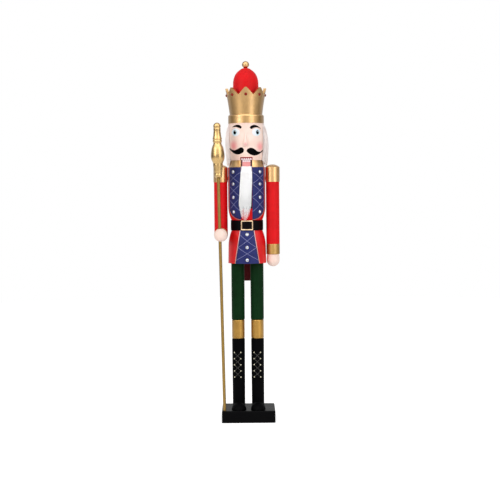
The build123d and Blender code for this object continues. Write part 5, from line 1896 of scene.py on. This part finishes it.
@dataclass
class Beard:
    """The tuft on the jaw: a thin core under strands that hang down the chest to a ragged tip.

    Lengths are in millimetres, but for chest_front.

    Attributes:
        strands: how many there are.
        drops: depths below the top, at which the next two are given.
        right_edge: the place across of the beard's edge on the figure's right, from the middle towards +X.
        left_edge: the same on its left.
        core_drop: how far down the core comes.
        shortest: how far down the shortest strands come.
        chest_front: metres; where the beard's back lies on the chest, as a place along Y.
        fur: the strands' shape.
    """

    strands: int = 2600
    drops: tuple[float, ...] = (0, 58, 71, 118, 158, 178, 198, 226)
    right_edge: tuple[float, ...] = (-22.3, -25.0, -26.7, -28.9, -32.0, -28.5, -25.5, -20.0)
    left_edge: tuple[float, ...] = (22.3, 22.0, 21.6, 18.5, 18.0, 13.2, 9.3, 2.0)
    core_drop: float = 165.0
    shortest: float = 130.0
    chest_front: float = -80.5 * MM
    fur: Fur = Fur(0.42 * MM, 12)

    def __post_init__(self) -> None:
        """Reads the beard's place from the frame."""
        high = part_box("beard")[1]
        self.top, self.back = high.z, high.y
        self.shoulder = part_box("coat_chest")[1].z

    def behind(self, z: Array) -> Array:
        """The beard's back: on the jaw's front at the top, and on the chest from 48 mm below the shoulder."""
        share = ease((self.shoulder - 8 * MM - z) / (40 * MM))
        return self.back + (self.chest_front - self.back) * share

    def across(self, q: Array, z: Array) -> Array:
        """Finds places across.

        Args:
            q: shares of the width, from -1 at the right edge to 1 at the left edge.
            z: heights.

        Returns:
            The middle between the two edges at each height, plus q times half of the width between them.
        """
        drop = (self.top - z) / MM
        right, left = (np.interp(drop, self.drops, edge) for edge in (self.right_edge, self.left_edge))
        return ((right + left) / 2 + q * (left - right) / 2) * MM

    def build(self) -> list[Piece]:
        """Builds the beard.

        Returns:
            The core and the strands, both bending from the jaw to the chest.
        """
        core, strands = self.core(), self.tuft()
        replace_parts(strands, "beard")
        for piece in (core, strands):
            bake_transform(piece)
        return [core, strands]

    def core(self) -> Piece:
        """Makes the core: level ovals on the beard's back, which get thinner and narrower downwards.

        Returns:
            The core.
        """
        drop = np.linspace(1, self.core_drop, 40)[:, None]
        z = self.top - drop * MM
        angle = np.linspace(0, math.tau, 36, endpoint=False)
        thick = (4.4 - 3.9 * ease((drop - 98) / 66)) * MM
        narrow = 0.88 - 0.45 * ease((drop - 118) / 47)
        x = self.across(np.cos(angle) * narrow, z)
        y = self.behind(z) - thick * (1 + np.sin(angle)) - 0.6 * MM
        rings = np.stack(np.broadcast_arrays(x, y, z), -1)[None]
        places = np.stack(np.broadcast_arrays(angle / math.tau, np.full_like(drop, 0.25)), -1)[None]
        return add_piece("beard_core", [Loft(rings, map=places)], BEARD_FUR, body="")

    def tuft(self) -> Piece:
        """Makes the strands.

        Each keeps its share of the width as it falls, drawn to its lock's middle near the tip. It starts inside
        the beard and comes out to its own depth. Past the shortest strands' tips, each further 27 mm keep a bit
        over a third of the strands, so that the tip thins out.

        Returns:
            The strands.
        """
        draw = np.random.default_rng(SEED + 1)
        count = self.strands
        t = np.linspace(0, 1, self.fur.levels)
        q = draw.uniform(-1, 1, (count, 1))
        first = draw.uniform(0, 1, (count, 1)) ** 2 * 70
        usual = self.shortest + draw.exponential(27, (count, 1))
        last = np.minimum(usual, 228 - draw.uniform(0, 8, (count, 1)) - 20 * q**2)
        depth = draw.uniform(0, 1, (count, 1))
        phase = draw.uniform(0, math.tau, (count, 1))
        drop = first + (last - first) * t
        z = self.top - drop * MM
        lock = np.round(q * 9 + np.sin(phase * 3) * 0.3)
        drawn = 0.55 * ease((drop - 120) / 90)
        wave = 0.035 * np.sin(math.tau * t * 1.2 + phase) + 0.03 * np.sin(lock * 5.1) * ease((drop - 60) / 150)
        share = q + (lock / 9 - q) * drawn + wave
        arch = np.sqrt(np.clip(1.02 - share**2, 0.04, 1))
        thick = (11.5 - 5.5 * ease((drop - 130) / 90)) * arch
        out = ease(t / 0.25)
        heave = 0.8 * np.sin(lock * 3.3) * ease(drop / 80)
        stand = 0.8 + thick * (0.25 + 0.75 * depth) * (0.45 + 0.55 * out) + heave
        path = np.stack([self.across(share, z), self.behind(z) - np.maximum(stand, 0.6) * MM, z], -1)
        up = np.broadcast_to(np.array([0.0, -1.0, 0.0]), path.shape)
        return add_piece("beard_strands", [self.fur.strands(path, up)], BEARD_FUR, body="")


@dataclass
class Trim:
    """Pieces that keep their CAD shape: collar, crown, arms, staff and the hidden fixings."""

    # The slot's walls are red paint made much lighter, as painted light for the shade inside the collar's slot.
    collar_slot_painted_light: Recess = Recess("#E48C74", 24.3 * MM)

    def build(self) -> list[Piece]:
        """Dresses the pieces.

        Returns:
            The pieces.
        """
        collar_gold = replace(GOLD, name="gold_lacquer_on_collar_painted_light_in_slot", recess=self.collar_slot_painted_light)
        pieces = dress(collar_gold, "collar")
        pieces += dress(GOLD, "crown", "crown_ball") + dress(CAP_GOLD_PAINTED_LIGHT, "right_shoulder_cap", "left_shoulder_cap")
        pieces += dress(RED_ENAMEL, "crown_dome", "left_sleeve", "right_upper_sleeve")
        pieces += dress(GARNET, "crown_gems")
        pieces += dress(RED_ENAMEL_FORWARD, "right_forearm")
        pieces += dress(CUFF_GOLD_PAINTED_SHADE, "left_cuff") + dress(GOLD_FORWARD_PAINTED_SHADE, "right_cuff")
        pieces += dress(SKIN_ENAMEL, "left_hand", "right_hand")
        pieces += dress(STAFF_GOLD_PAINTED_SHADE, "staff_rod") + dress(FINIAL_GOLD_PAINTED_SHADE, "staff_finial")
        pieces += dress(ZINC_STEEL, "jaw_pivot_pin")
        names = ("leg", "hip", "neck", "shoulder", "arm")
        pieces += dress(BEECH, *[f"{name}_dowels" for name in names], "waist_dowel", "crown_dowel")
        return pieces


def main() -> None:
    """Builds the sub-assemblies in order, and reports each piece."""
    logging.basicConfig(level=logging.INFO, format="%(name)s: %(message)s")
    for assembly in (Studio(), Legs(), Coat(), Belt(), Face(), Hair(), Beard(), Trim()):
        for piece in assembly.build():
            LOG.info("%s: %s, %d faces", type(assembly).__name__, piece.name, len(piece.data.polygons))


if __name__ == "__main__":
    main()
